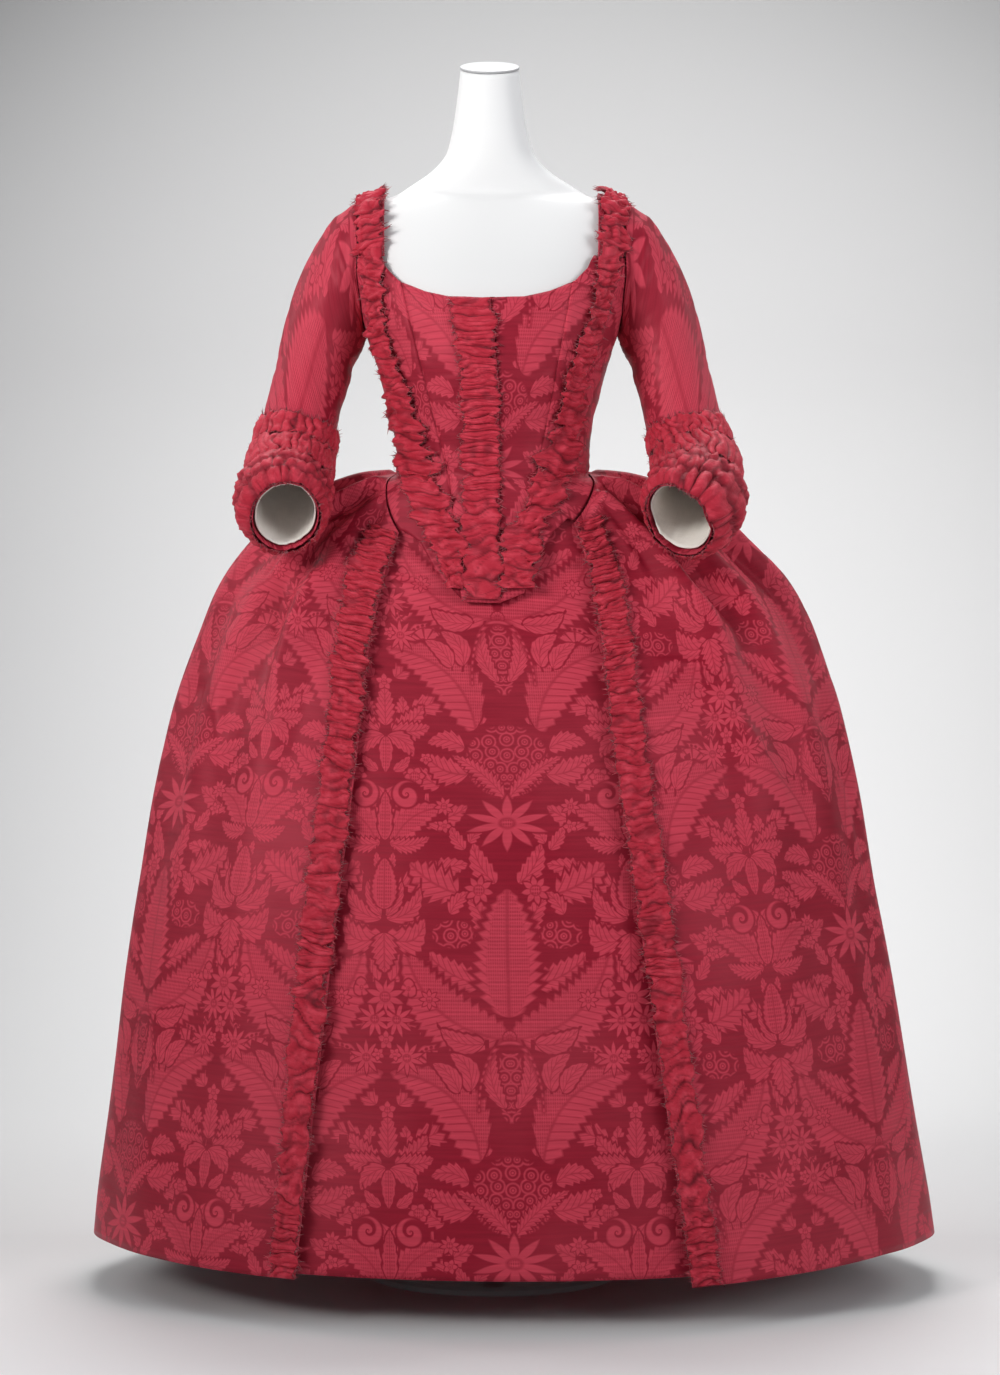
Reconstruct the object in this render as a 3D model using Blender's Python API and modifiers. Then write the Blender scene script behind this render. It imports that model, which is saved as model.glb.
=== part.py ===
"""A mantua, an open gown with its petticoat in crimson silk damask, on a limbless dress form.

Metres, +Z up. The front faces -Y, and left and right are those of a viewer in front of it.
The origin is on the floor, under the middle of the hem.

One table of rings, BASE_RINGS, gives the surface that the gown lies on, from the shoulders
down over the waist to the hem. Every cloth piece is made from that surface's own points:
a point is an angle round the ring and a place down the table, moved out by a lift.
Angle 0 is the right side, -90 degrees is the front and 90 degrees is the back.
"""

import math

import bmesh
import bpy
from mathutils import Vector

COLLECTION = "mantua_on_dress_form"

# Cloth and clearances
WALL = 0.0015
RUCHE_WALL = 0.0010
SEAM_GAP = 0.0004
FORM_CLEARANCE = 0.0009     # between the form and the petticoat's waist
BODICE_EASE = 0.0019        # between the form and the bodice
RUCHE_CLEARANCE = 0.0010
ROBING_CLEARANCE = 0.0016
SHOULDER_EASE = 0.0036      # room under the straps and the sleeve heads
UNDER_WAIST = 0.0024        # room for the petticoat between the form and the bodice
HIP_SET_BACK = 0.006        # how much further in the petticoat lies under the hip pads
HEM_SET_BACK = 0.004        # and again at its hem
WAISTBAND = 0.3             # how far down the rings the petticoat stays close to the form

# The ring table's columns
BASE_COLUMNS = ("name", "half_width", "side_z", "front_y", "front_z", "back_y", "back_z",
                "centre_x", "centre_y", "squareness")
BASE_RINGS = (
    ("shoulder_top", 0.1180, 1.3390, -0.083, 1.3390, 0.012, 1.3390, -0.0280, -0.040, 2.00),
    ("shoulder_high", 0.1500, 1.3280, -0.095, 1.3280, 0.024, 1.3280, -0.0280, -0.041, 2.20),
    ("shoulder_edge", 0.1720, 1.3080, -0.109, 1.3080, 0.037, 1.3080, -0.0280, -0.042, 2.40),
    ("shoulder", 0.1775, 1.2800, -0.125, 1.2800, 0.047, 1.2800, -0.0280, -0.042, 2.50),
    ("armhole", 0.1740, 1.2420, -0.147, 1.2420, 0.055, 1.2420, -0.0280, -0.042, 2.50),
    ("neckline", 0.1630, 1.2000, -0.168, 1.2000, 0.059, 1.2000, -0.0275, -0.045, 2.35),
    ("underarm", 0.1540, 1.1680, -0.177, 1.1680, 0.060, 1.1680, -0.0270, -0.048, 2.25),
    ("bust", 0.1435, 1.1400, -0.179, 1.1400, 0.058, 1.1400, -0.0270, -0.050, 2.20),
    ("rib_high", 0.1340, 1.1050, -0.176, 1.1050, 0.053, 1.1050, -0.0270, -0.053, 2.15),
    ("rib", 0.1265, 1.0750, -0.171, 1.0750, 0.047, 1.0750, -0.0270, -0.055, 2.10),
    ("rib_low", 0.1195, 1.0470, -0.164, 1.0470, 0.041, 1.0470, -0.0265, -0.057, 2.05),
    ("waist_high", 0.1165, 1.0180, -0.157, 1.0160, 0.036, 1.0160, -0.0260, -0.059, 2.00),
    ("waist", 0.1165, 0.9930, -0.1530, 0.9850, 0.0330, 0.9850, -0.0260, -0.060, 2.00),
    ("hip_pad_inner", 0.1580, 0.9880, -0.1560, 0.9580, 0.0550, 0.9750, -0.0250, -0.052, 2.00),
    ("hip_pad_top", 0.2100, 0.9710, -0.1620, 0.9120, 0.0920, 0.9550, -0.0240, -0.042, 2.00),
    ("hip_pad_outer", 0.2620, 0.9360, -0.1740, 0.8600, 0.1400, 0.9200, -0.0220, -0.033, 2.00),
    ("hip_high", 0.3065, 0.8930, -0.1900, 0.8120, 0.1850, 0.8800, -0.0200, -0.028, 2.00),
    ("hip", 0.3425, 0.8500, -0.2080, 0.7660, 0.2220, 0.8380, -0.0150, -0.024, 2.05),
    ("hip_low", 0.3730, 0.7880, -0.2310, 0.7100, 0.2560, 0.7780, -0.0110, -0.020, 2.10),
    ("side_high", 0.4035, 0.7130, -0.2580, 0.6420, 0.2870, 0.7050, -0.0090, -0.016, 2.10),
    ("side", 0.4320, 0.6020, -0.2920, 0.5520, 0.3180, 0.5980, -0.0090, -0.012, 2.10),
    ("knee_high", 0.4505, 0.4900, -0.3190, 0.4600, 0.3380, 0.4880, -0.0090, -0.008, 2.08),
    ("knee", 0.4665, 0.4030, -0.3360, 0.3900, 0.3500, 0.4020, -0.0075, -0.010, 2.05),
    ("calf", 0.4865, 0.2790, -0.3550, 0.2720, 0.3580, 0.2780, -0.0045, -0.005, 2.00),
    ("ankle", 0.5065, 0.1430, -0.3720, 0.1410, 0.3670, 0.1420, -0.0020, -0.001, 2.00),
    ("hem", 0.5170, 0.0620, -0.3800, 0.0620, 0.3710, 0.0620, 0.0000, 0.000, 2.00),
)

# The dress form above the shoulders and below the waist, in the same columns
NECK_RINGS = (
    ("neck_top", 0.0380, 1.4890, -0.0880, 1.4770, -0.0100, 1.5010, -0.0300, -0.0490, 2.00),
    ("neck", 0.0430, 1.4480, -0.0860, 1.4440, -0.0040, 1.4520, -0.0300, -0.0450, 2.00),
    ("neck_low", 0.0490, 1.4110, -0.0850, 1.4080, 0.0020, 1.4140, -0.0300, -0.0420, 2.00),
    ("neck_base", 0.0560, 1.3870, -0.0845, 1.3840, 0.0060, 1.3900, -0.0295, -0.0400, 2.00),
    ("neck_root", 0.0740, 1.3660, -0.0835, 1.3640, 0.0080, 1.3680, -0.0290, -0.0400, 2.00),
    ("collar_bone", 0.0980, 1.3500, -0.0825, 1.3490, 0.0100, 1.3510, -0.0285, -0.0400, 2.00),
)
HIP_RINGS = (
    ("form_waist_low", 0.1130, 0.9800, -0.1440, 0.9765, 0.0250, 0.9765, -0.0260, -0.060, 2.00),
    ("form_hip_high", 0.1200, 0.9450, -0.1400, 0.9400, 0.0300, 0.9450, -0.0260, -0.056, 2.00),
    ("form_hip", 0.1270, 0.8700, -0.1360, 0.8700, 0.0380, 0.8700, -0.0260, -0.050, 2.00),
    ("form_seat", 0.1240, 0.8200, -0.1300, 0.8200, 0.0380, 0.8200, -0.0260, -0.047, 2.00),
    ("form_bottom", 0.1080, 0.7950, -0.1140, 0.7950, 0.0240, 0.7950, -0.0260, -0.046, 2.00),
)
FORM_SEGMENTS = 32
NECK_LEAN = math.radians(17.0)

# Stand
POLE_RADIUS = 0.0125
POLE_Y = -0.046
POLE_SEGMENTS = 20
BASE_RADIUS = 0.155
BASE_HEIGHT = 0.010
BASE_BEVEL = 0.004
BASE_CENTRE_Y = 0.015
BASE_SEGMENTS = 44
CAP_RADIUS = 0.0365
CAP_THICKNESS = 0.003
CAP_SEGMENTS = 32

# Bodice outlines, as distances to the right of the bodice's own middle
BODICE_MIDDLE = -0.027
NECKLINE_MIDDLE = -0.006
NECKLINE_COLUMNS = ("offset", "z")
NECKLINE = (
    (0.000, 1.2000),
    (0.045, 1.2020),
    (0.075, 1.2090),
    (0.105, 1.2220),
    (0.122, 1.2400),
    (0.130, 1.2640),
)
BACK_NECK_Z = 1.285
STRAP_JOIN_Z = 1.254
ARMHOLE_Y = -0.042
ARMHOLE_Z = 1.244
ARMHOLE_HALF_DEPTH = 0.048
ARMHOLE_HALF_HEIGHT = 0.077
STRAP_INNER_X = 0.130
STRAP_RISE = 0.003
STRAP_TOP_PLACE = 0.45      # ring steps below the top of the shoulder
STRAP_MARGIN = 0.003        # between the armhole and the strap's outer edge

OPENING_COLUMNS = ("z", "opening_x", "ruche_width")
OPENING = (
    (0.8350, 0.0108, 0.045),
    (0.9900, 0.0090, 0.043),
    (1.1000, 0.0085, 0.044),
    (1.2000, -0.0020, 0.047),
)
FRONT_SEAM_COLUMNS = ("z", "left_x", "right_x")
FRONT_SEAM = (
    (0.8350, -0.036, 0.044),
    (0.9800, -0.0504, 0.0516),
    (1.0770, -0.0744, 0.0700),
    (1.2200, -0.1090, 0.0960),
)
TAB_COLUMNS = ("x", "z")
TAB_EDGE = (
    (-0.1032, 0.9202),
    (-0.0852, 0.9070),
    (-0.0660, 0.8710),
    (-0.0516, 0.8554),
    (-0.0324, 0.8362),
    (0.0084, 0.8350),
    (0.0384, 0.8470),
    (0.0552, 0.8902),
    (0.0708, 0.9178),
    (0.0960, 0.9418),
)
SIDE_SEAM_ANGLE = 35.0
SEAM_TURN = 0.08            # half a seam's gap, in degrees round the bodice
ROWS_ABOVE_WAIST = 9
ROWS_BELOW_WAIST = 5
FRONT_PANEL_COLUMNS = 5
BACK_PANEL_COLUMNS = 7
WAIST_SEAM_TOP = 0.10
WAIST_SEAM_BACK = 1.00
WAIST_SEAM_FRONT = {"left": 2.90, "right": 2.25}
SKIRT_GRID = 5.0
BODICE_GRID = 10.0
CORNER_ANGLE = 62.0         # about where the skirt's front edge meets the bodice
PLEAT_START = 0.3           # ring steps in which a pleat rises from the seam
SKIRT_TOP_GAP = 0.056       # in ring steps, about a millimetre clear of the bodice wall

ROBING_COLUMNS = ("z", "left_x", "left_width", "right_x", "right_width")
ROBING = (
    (0.8510, -0.0420, 0.013, 0.0290, 0.026),
    (0.8866, -0.0500, 0.024, 0.0360, 0.033),
    (0.9220, -0.0590, 0.033, 0.0390, 0.032),
    (0.9580, -0.0700, 0.034, 0.0540, 0.034),
    (0.9817, -0.0785, 0.030, 0.0674, 0.034),
    (1.0175, -0.0910, 0.034, 0.0756, 0.036),
    (1.0530, -0.1035, 0.027, 0.0900, 0.032),
    (1.1127, -0.1160, 0.025, 0.0990, 0.022),
    (1.1600, -0.1340, 0.022, 0.1180, 0.019),
    (1.2080, -0.1400, 0.022, 0.1300, 0.020),
    (1.2540, -0.1450, 0.026, 0.1430, 0.026),
)
STRAP_SHARE = 0.24          # how much of the robing lies on the shoulder strap
ROBING_WAVES = 18
ROBING_WAVE_HEIGHT = 0.005
CENTRE_WAVES = 20
CENTRE_WAVE_HEIGHT = 0.0045

# Skirt openings, measured from the middle of the rings, and their ruches
EDGE_COLUMNS = ("z", "left_x", "right_x", "left_width", "right_width")
SKIRT_EDGE = (
    (0.0600, -0.2530, 0.2022, 0.030, 0.034),
    (0.4264, -0.2118, 0.1494, 0.039, 0.038),
    (0.6450, -0.1859, 0.1186, 0.039, 0.036),
    (0.7925, -0.1713, 0.1025, 0.041, 0.036),
    (0.8750, -0.1536, 0.0892, 0.044, 0.034),
    (0.9340, -0.1330, 0.0700, 0.036, 0.030),
    (0.9800, -0.1200, 0.0620, 0.030, 0.026),
)
SKIRT_RUCHE_WAVES = 28
SKIRT_WAVE_HEIGHT = 0.006
SKIRT_ROWS = 9
CROWDING = 1.3
PETTICOAT_COLUMNS = 36
PETTICOAT_ROWS = 9
HEM_DROP = {"left": 0.006, "right": 0.012}
HEM_DROP_ANGLE = 35.0

# Pleats of one skirt half: place round the ring in degrees from the side (front is minus)
PLEAT_COLUMNS = ("angle", "width", "depth_top", "depth_hip", "depth_hem")
PLEATS = (
    (-46.0, 7.0, 0.004, 0.011, 0.000),
    (-29.0, 7.0, 0.006, 0.013, 0.001),
    (-12.0, 7.5, 0.006, 0.010, 0.002),
    (7.0, 8.0, 0.006, 0.012, 0.004),
    (26.0, 8.0, 0.007, 0.013, 0.007),
    (44.0, 8.0, 0.008, 0.014, 0.009),
    (61.0, 8.0, 0.008, 0.014, 0.010),
    (78.0, 8.0, 0.008, 0.014, 0.010),
)

# Sleeves, in a frame where +x points away from the body
SLEEVE_COLUMNS = ("x", "y", "z", "facing_x", "facing_y", "facing_z", "half_out", "half_front")
UPPER_SLEEVE = (
    (0.1745, -0.042, 1.2370, 0.900, 0.000, -0.220, 0.0720, 0.0520),
    (0.1870, -0.042, 1.2150, 0.888, 0.000, -0.460, 0.0640, 0.0535),
    (0.2040, -0.045, 1.1725, 0.628, -0.050, -0.778, 0.0520, 0.0515),
    (0.2160, -0.051, 1.1340, 0.352, -0.120, -0.936, 0.0455, 0.0500),
    (0.2240, -0.059, 1.0990, 0.250, -0.180, -0.957, 0.0447, 0.0490),
    (0.2373, -0.080, 1.0400, 0.180, -0.300, -0.940, 0.0440, 0.0480),
)
LOWER_SLEEVE = {
    "left": (
        (0.2440, -0.122, 0.9950, 0.050, -0.550, -0.840, 0.0450, 0.0470),
        (0.2460, -0.167, 0.9640, -0.080, -0.700, -0.700, 0.0420, 0.0470),
        (0.2450, -0.210, 0.9360, -0.200, -0.800, -0.550, 0.0385, 0.0470),
    ),
    "right": (
        (0.2460, -0.125, 0.9960, 0.000, -0.560, -0.830, 0.0460, 0.0470),
        (0.2400, -0.178, 0.9640, -0.250, -0.680, -0.690, 0.0450, 0.0470),
        (0.2190, -0.226, 0.9320, -0.560, -0.660, -0.500, 0.0420, 0.0470),
    ),
}
SLEEVE_SEGMENTS = 20        # two to each wave of the cuffs
LINING_FROM = 6
CUFF_COLUMNS = ("name", "start", "middle", "end", "wave_height", "puff")
CUFFS = (
    ("upper", 5.70, 6.00, 6.35, 0.005, 0.0020),
    ("middle", 6.39, 7.00, 7.25, 0.006, 0.0030),
    ("lower", 7.29, 8.00, 9.00, 0.006, 0.0100),
)
CUFF_CLEARANCE = 0.0005
CUFF_EDGE_FULLNESS = 0.45
WAVE_PROFILE = (0.0, 1.0)
CUFF_WAVES = SLEEVE_SEGMENTS // len(WAVE_PROFILE)

# Colours, red green blue, with a roughness
SILK = ((0.420, 0.030, 0.055), 0.45)
RUCHE_SILK = ((0.380, 0.025, 0.045), 0.55)
LINEN = ((0.560, 0.500, 0.450), 0.80)
FORM_WHITE = ((0.850, 0.850, 0.850), 0.50)
CAP_GREY = ((0.500, 0.500, 0.500), 0.45)
STAND_GREY = ((0.600, 0.600, 0.600), 0.50)


def columns_of(names, rows):
    """A dictionary of the table's columns."""
    return {name: [row[i] for row in rows] for i, name in enumerate(names)}


BASE = columns_of(BASE_COLUMNS, BASE_RINGS)
RING = {name: i for i, name in enumerate(BASE["name"])}
WAIST = RING["waist"]
HEM = RING["hem"]


def glide(values, place):
    """The value at a place in a list, smooth and with no overshoot."""
    steps = [b - a for a, b in zip(values, values[1:])]

    def slope(k):
        if k <= 0:
            return steps[0]
        if k >= len(steps):
            return steps[-1]
        before, after = steps[k - 1], steps[k]
        return 0.0 if before * after <= 0 else 2 * before * after / (before + after)

    i = max(0, min(int(place), len(values) - 2))
    f = min(max(place - i, 0.0), 1.0)
    rise = 3 * f * f - 2 * f ** 3
    return (values[i] + steps[i] * rise
            + slope(i) * (f ** 3 - 2 * f * f + f) + slope(i + 1) * (f ** 3 - f * f))


def lookup(table, key, at, name):
    """Straight-line value of one column where the key column has the given value."""
    keys, values = table[key], table[name]
    if at <= keys[0]:
        return values[0]
    for k0, k1, v0, v1 in zip(keys, keys[1:], values, values[1:]):
        if at <= k1:
            return v0 + (v1 - v0) * (at - k0) / (k1 - k0)
    return values[-1]


def mix(a, b, f):
    return a + (b - a) * f


def ease(f):
    f = min(max(f, 0.0), 1.0)
    return f * f * (3 - 2 * f)


def ring_point(table, angle, place):
    """Point on a table's surface, at an angle in radians and a place down its rings."""
    value = {name: glide(table[name], place) for name in table if name != "name"}
    c, s = math.cos(angle), math.sin(angle)
    power = 2 / value["squareness"]
    end_y, end_z = (value["front_y"], value["front_z"]) if s < 0 else (
        value["back_y"], value["back_z"])
    return Vector((
        value["centre_x"] + value["half_width"] * math.copysign(abs(c) ** power, c),
        mix(value["centre_y"], end_y, abs(s) ** power),
        mix(value["side_z"], end_z, s * s),
    ))


def lifted(surface, a, b, lift):
    """A surface's point moved out along its normal."""
    step = 0.01
    along_a = surface(a + step, b) - surface(a - step, b)
    along_b = surface(a, b + step) - surface(a, b - step)
    return surface(a, b) + along_b.cross(along_a).normalized() * lift


def base(angle, place):
    return ring_point(BASE, angle, min(max(place, 0.0), HEM))


def on_base(angle, place, lift=0.0):
    """A point of the gown's base surface, moved out. The hem's last ring is read just inside."""
    step = 0.01
    inside = min(max(place, step), HEM - step)
    along_a = base(angle + step, inside) - base(angle - step, inside)
    along_b = base(angle, inside + step) - base(angle, inside - step)
    return base(angle, place) + along_b.cross(along_a).normalized() * lift


def place_of_z(z):
    """Place of a level ring above the waist."""
    low, high = 0.0, float(WAIST)
    for _ in range(40):
        middle = (low + high) / 2
        if glide(BASE["side_z"], middle) > z:
            low = middle
        else:
            high = middle
    return low


def front_angle(x, place):
    """Angle on the front of the ring at a place where the surface has the given x."""
    across = (x - glide(BASE["centre_x"], place)) / glide(BASE["half_width"], place)
    across = max(-1.0, min(1.0, across))
    c = math.copysign(abs(across) ** (glide(BASE["squareness"], place) / 2), across)
    return -math.acos(c)


def front_place(x, z):
    """Place on the front surface where it has the given x and z."""
    low, high = 0.0, float(HEM)
    for _ in range(40):
        middle = (low + high) / 2
        if base(front_angle(x, middle), middle).z > z:
            low = middle
        else:
            high = middle
    return low


def side_angle(side, y, z):
    """Angle on a level ring above the waist where the surface has the given y, on one side."""
    place = place_of_z(z)
    centre = glide(BASE["centre_y"], place)
    reach = glide(BASE["front_y" if y < centre else "back_y"], place) - centre
    s = min(1.0, abs((y - centre) / reach)) ** (glide(BASE["squareness"], place) / 2)
    angle = math.copysign(math.asin(s), y - centre)
    return angle if side == "right" else math.pi - angle


# Mesh helpers

def material(name, finish):
    colour, roughness = finish
    made = bpy.data.materials.get(name) or bpy.data.materials.new(name)
    made.use_nodes = True
    shader = made.node_tree.nodes["Principled BSDF"]
    shader.inputs["Base Color"].default_value = (*colour, 1.0)
    shader.inputs["Roughness"].default_value = roughness
    shader.inputs["Metallic"].default_value = 0.0
    made.diffuse_color = (*colour, 1.0)
    return made


def add_object(name, mesh, finish_name, finish, sharp_angle=40.0):
    mesh.materials.append(material(finish_name, finish))
    mesh.shade_smooth()
    mesh.set_sharp_from_angle(angle=math.radians(sharp_angle))
    piece = bpy.data.objects.new(name, mesh)
    bpy.data.collections[COLLECTION].objects.link(piece)
    return piece


def sheet_mesh(name, rows, round_rows=False):
    """A grid of points as an open mesh; round rows are closed from last point to first."""
    mesh = bpy.data.meshes.new(name)
    bm = bmesh.new()
    grid = [[bm.verts.new(point) for point in row] for row in rows]
    count = len(rows[0])
    for upper, lower in zip(grid, grid[1:]):
        for i in range(count if round_rows else count - 1):
            j = (i + 1) % count
            bm.faces.new((upper[i], lower[i], lower[j], upper[j]))
    bm.normal_update()
    bm.to_mesh(mesh)
    bm.free()
    return mesh


def cloth(name, rows, finish_name, finish, round_rows=False, flip=False, wall=WALL):
    """A cloth wall: the grid is its inner face and Solidify adds the wall outwards."""
    mesh = sheet_mesh(name, rows, round_rows)
    if flip:
        mesh.flip_normals()
    piece = add_object(name, mesh, finish_name, finish)
    solid = piece.modifiers.new("Wall", "SOLIDIFY")
    solid.thickness = wall
    solid.offset = 1.0
    return piece


def spread(start, end, count):
    return [mix(start, end, i / count) for i in range(count + 1)]


# Dress form and stand

def make_form():
    """Torso and neck as one smooth closed solid, drawn in from the cloth."""
    rings = NECK_RINGS + BASE_RINGS[:WAIST + 1] + HIP_RINGS
    table = columns_of(BASE_COLUMNS, rings)
    waist = table["name"].index("waist")
    last = len(rings) - 1

    def surface(angle, place):
        return ring_point(table, angle, min(max(place, 0.0), last))

    shoulder = table["name"].index("shoulder")

    def inset(place):
        at_shoulder = ease(1.2 - abs(place - shoulder) / 4)
        at_waist = ease((place - waist + 3) / 2)
        gap = mix(BODICE_EASE, FORM_CLEARANCE, at_waist)
        return -gap - SHOULDER_EASE * at_shoulder - UNDER_WAIST * at_waist

    mesh = bpy.data.meshes.new("dress_form")
    bm = bmesh.new()
    loops = []
    for place in [float(i) for i in range(last + 1)]:
        inner = min(max(place, 0.02), last - 0.02)
        loop = []
        for k in range(FORM_SEGMENTS):
            angle = 2 * math.pi * k / FORM_SEGMENTS
            shift = lifted(surface, angle, inner, inset(place)) - surface(angle, inner)
            point = surface(angle, place) + shift
            if place == last:
                point.z = table["side_z"][last]
            if place == 0:
                point.z = glide(table["side_z"], 0) + (
                    point.y - glide(table["centre_y"], 0)) * math.tan(NECK_LEAN)
            loop.append(bm.verts.new(point))
        loops.append(loop)
    for upper, lower in zip(loops, loops[1:]):
        for k in range(FORM_SEGMENTS):
            j = (k + 1) % FORM_SEGMENTS
            bm.faces.new((upper[k], lower[k], lower[j], upper[j]))
    bm.faces.new(loops[0])
    bm.faces.new(list(reversed(loops[-1])))
    bmesh.ops.recalc_face_normals(bm, faces=bm.faces)
    bm.to_mesh(mesh)
    bm.free()
    add_object("dress_form", mesh, "form_white", FORM_WHITE, 50.0)


def make_cap():
    """Flat grey disc that closes the neck, leaning forward with it."""
    top = columns_of(BASE_COLUMNS, NECK_RINGS[:1])
    middle_y = (top["front_y"][0] + top["back_y"][0]) / 2
    rise = CAP_THICKNESS / 2 + SEAM_GAP
    centre = Vector((top["centre_x"][0], middle_y, top["side_z"][0]))
    centre += Vector((0, -math.sin(NECK_LEAN), math.cos(NECK_LEAN))) * rise
    bpy.ops.mesh.primitive_cylinder_add(
        vertices=CAP_SEGMENTS, radius=CAP_RADIUS, depth=CAP_THICKNESS,
        location=centre, rotation=(NECK_LEAN, 0, 0))
    adopt(bpy.context.object, "neck_cap", "cap_grey", CAP_GREY)


def adopt(piece, name, finish_name, finish):
    """Name a primitive, give it its finish and move it to the collection."""
    piece.name = name
    piece.data.name = name
    piece.data.materials.append(material(finish_name, finish))
    for owner in list(piece.users_collection):
        owner.objects.unlink(piece)
    bpy.data.collections[COLLECTION].objects.link(piece)
    piece.data.shade_smooth()
    piece.data.set_sharp_from_angle(angle=math.radians(40))


def make_stand():
    """Pole under the torso and a round steel base on the floor."""
    hips = columns_of(BASE_COLUMNS, HIP_RINGS)
    bottom = hips["side_z"][-1] - SEAM_GAP
    foot = BASE_HEIGHT + SEAM_GAP
    centre_x = hips["centre_x"][-1]
    bpy.ops.mesh.primitive_cylinder_add(
        vertices=POLE_SEGMENTS, radius=POLE_RADIUS, depth=bottom - foot,
        location=(centre_x, POLE_Y, (bottom + foot) / 2))
    adopt(bpy.context.object, "stand_pole", "stand_steel", STAND_GREY)

    profile = (
        (0.0, BASE_HEIGHT),
        (BASE_RADIUS - BASE_BEVEL, BASE_HEIGHT),
        (BASE_RADIUS, BASE_HEIGHT - BASE_BEVEL),
        (BASE_RADIUS, 0.0),
        (0.0, 0.0),
    )
    mesh = bpy.data.meshes.new("stand_base")
    bm = bmesh.new()
    points = [bm.verts.new((x, 0.0, z)) for x, z in profile]
    for a, b in zip(points, points[1:]):
        bm.edges.new((a, b))
    bm.to_mesh(mesh)
    bm.free()
    piece = add_object("stand_base", mesh, "stand_steel", STAND_GREY)
    piece.location = (centre_x, BASE_CENTRE_Y, 0.0)
    turn = piece.modifiers.new("Turned", "SCREW")
    turn.steps = BASE_SEGMENTS
    turn.render_steps = BASE_SEGMENTS
    turn.use_merge_vertices = True
    turn.merge_threshold = 0.0001


# Petticoat and gown skirt

def petticoat_lift(place):
    down = place - WAIST
    return (-UNDER_WAIST - HIP_SET_BACK * ease(down / WAISTBAND)
            - HEM_SET_BACK * ease(down / (HEM - WAIST)))


def skirt_places(start, count):
    """Places from a start to the hem, closer together near the waist."""
    return [mix(start, HEM, (i / count) ** CROWDING) for i in range(count + 1)]


def make_petticoat():
    rows = []
    for place in [WAIST] + skirt_places(WAIST + WAISTBAND, PETTICOAT_ROWS):
        lift = petticoat_lift(place)
        rows.append([on_base(2 * math.pi * k / PETTICOAT_COLUMNS, place, lift)
                     for k in range(PETTICOAT_COLUMNS)])
    cloth("petticoat", rows, "silk_damask", SILK, round_rows=True)


EDGE = columns_of(EDGE_COLUMNS, SKIRT_EDGE)
PLEAT = columns_of(PLEAT_COLUMNS, PLEATS)


def side_turn(side, angle):
    """Angle in degrees from one side, minus towards the front, as a ring angle in radians."""
    return math.radians(angle) if side == "right" else math.pi - math.radians(angle)


def edge_degrees(side, place, shift=0.0):
    """Skirt opening's edge, in degrees from the side, moved out from the middle by a shift."""
    sign = 1 if side == "right" else -1
    angle = math.radians(-90 + sign * 25)
    for _ in range(4):
        z = base(angle, place).z
        x = lookup(EDGE, "z", z, side + "_x") + sign * shift
        angle = front_angle(x, place)
    degrees = math.degrees(angle)
    return degrees if side == "right" else -180 - degrees


def corner_degrees(side):
    """Where the skirt's front edge meets the bodice, in degrees from the side."""
    degrees = -CORNER_ANGLE
    for _ in range(6):
        degrees = edge_degrees(side, waist_seam(side, degrees))
    return degrees


def waist_seam(side, degrees):
    """Place of the seam between bodice and skirt."""
    s = math.sin(math.radians(degrees))
    if s < 0:
        return WAIST + WAIST_SEAM_TOP + WAIST_SEAM_FRONT[side] * abs(s) ** 2.2
    return WAIST + WAIST_SEAM_TOP + WAIST_SEAM_BACK * s ** 3


def pleat_lift(degrees, place, seam):
    """How far the pleats stand out, from the seam down to the hem."""
    down = (place - seam) / (HEM - seam)
    lift = 0.0
    for angle, width, top, hip, hem in zip(*(PLEAT[name] for name in PLEAT_COLUMNS)):
        if down < 0.25:
            depth = mix(top, hip, ease(down / 0.25))
        else:
            depth = mix(hip, hem, ease((down - 0.25) / 0.75))
        away = abs(degrees - angle) / (width + 1.5 * down)
        lift += depth * ease(1 - away)
    return lift


def gown_point(side, degrees, place, lift=0.0):
    """A point of the gown skirt's inner face, with its pleats."""
    seam = waist_seam(side, degrees)
    near_edge = degrees - edge_degrees(side, place)
    drop = HEM_DROP[side] * max(0.0, 1 - near_edge / HEM_DROP_ANGLE)
    drop *= ease((place - WAIST) / (HEM - WAIST)) ** 3
    out = pleat_lift(degrees, place, seam) * ease((near_edge - 6) / 8)
    out *= ease((place - seam - SKIRT_TOP_GAP) / PLEAT_START)
    point = on_base(side_turn(side, degrees), place, out + lift)
    return point - Vector((0, 0, drop))


CORNER = {side: corner_degrees(side) for side in ("left", "right")}


def grid_degrees(start, end, step):
    """Whole grid angles between two angles, with both ends."""
    inside = []
    angle = math.floor(start / step + 1.4) * step
    while angle < end - 0.3 * step:
        inside.append(angle)
        angle += step
    return [start] + inside + [end]


def make_gown_skirt(side):
    """One half of the gown's skirt, from its front edge round to the middle of the back."""
    front = CORNER[side]
    back = 90.0 - math.degrees(SEAM_GAP)
    columns = []
    for degrees in grid_degrees(front, back, SKIRT_GRID):
        top = waist_seam(side, degrees) + SKIRT_TOP_GAP
        edge = edge_degrees(side, top)
        share = (degrees - edge) / (back - edge)
        column = []
        for place in skirt_places(top, SKIRT_ROWS):
            at = mix(edge_degrees(side, place), back, share)
            column.append(gown_point(side, at, place))
        columns.append(column)
    rows = [list(row) for row in zip(*columns)]
    cloth("gown_skirt_" + side, rows, "silk_damask", SILK, flip=side == "left")


# Bodice

NECK = columns_of(NECKLINE_COLUMNS, NECKLINE)
TAB = columns_of(TAB_COLUMNS, TAB_EDGE)
FRONT = columns_of(FRONT_SEAM_COLUMNS, FRONT_SEAM)
CENTRE = columns_of(OPENING_COLUMNS, OPENING)


def bodice_x(point):
    return point.x - BODICE_MIDDLE


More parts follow.
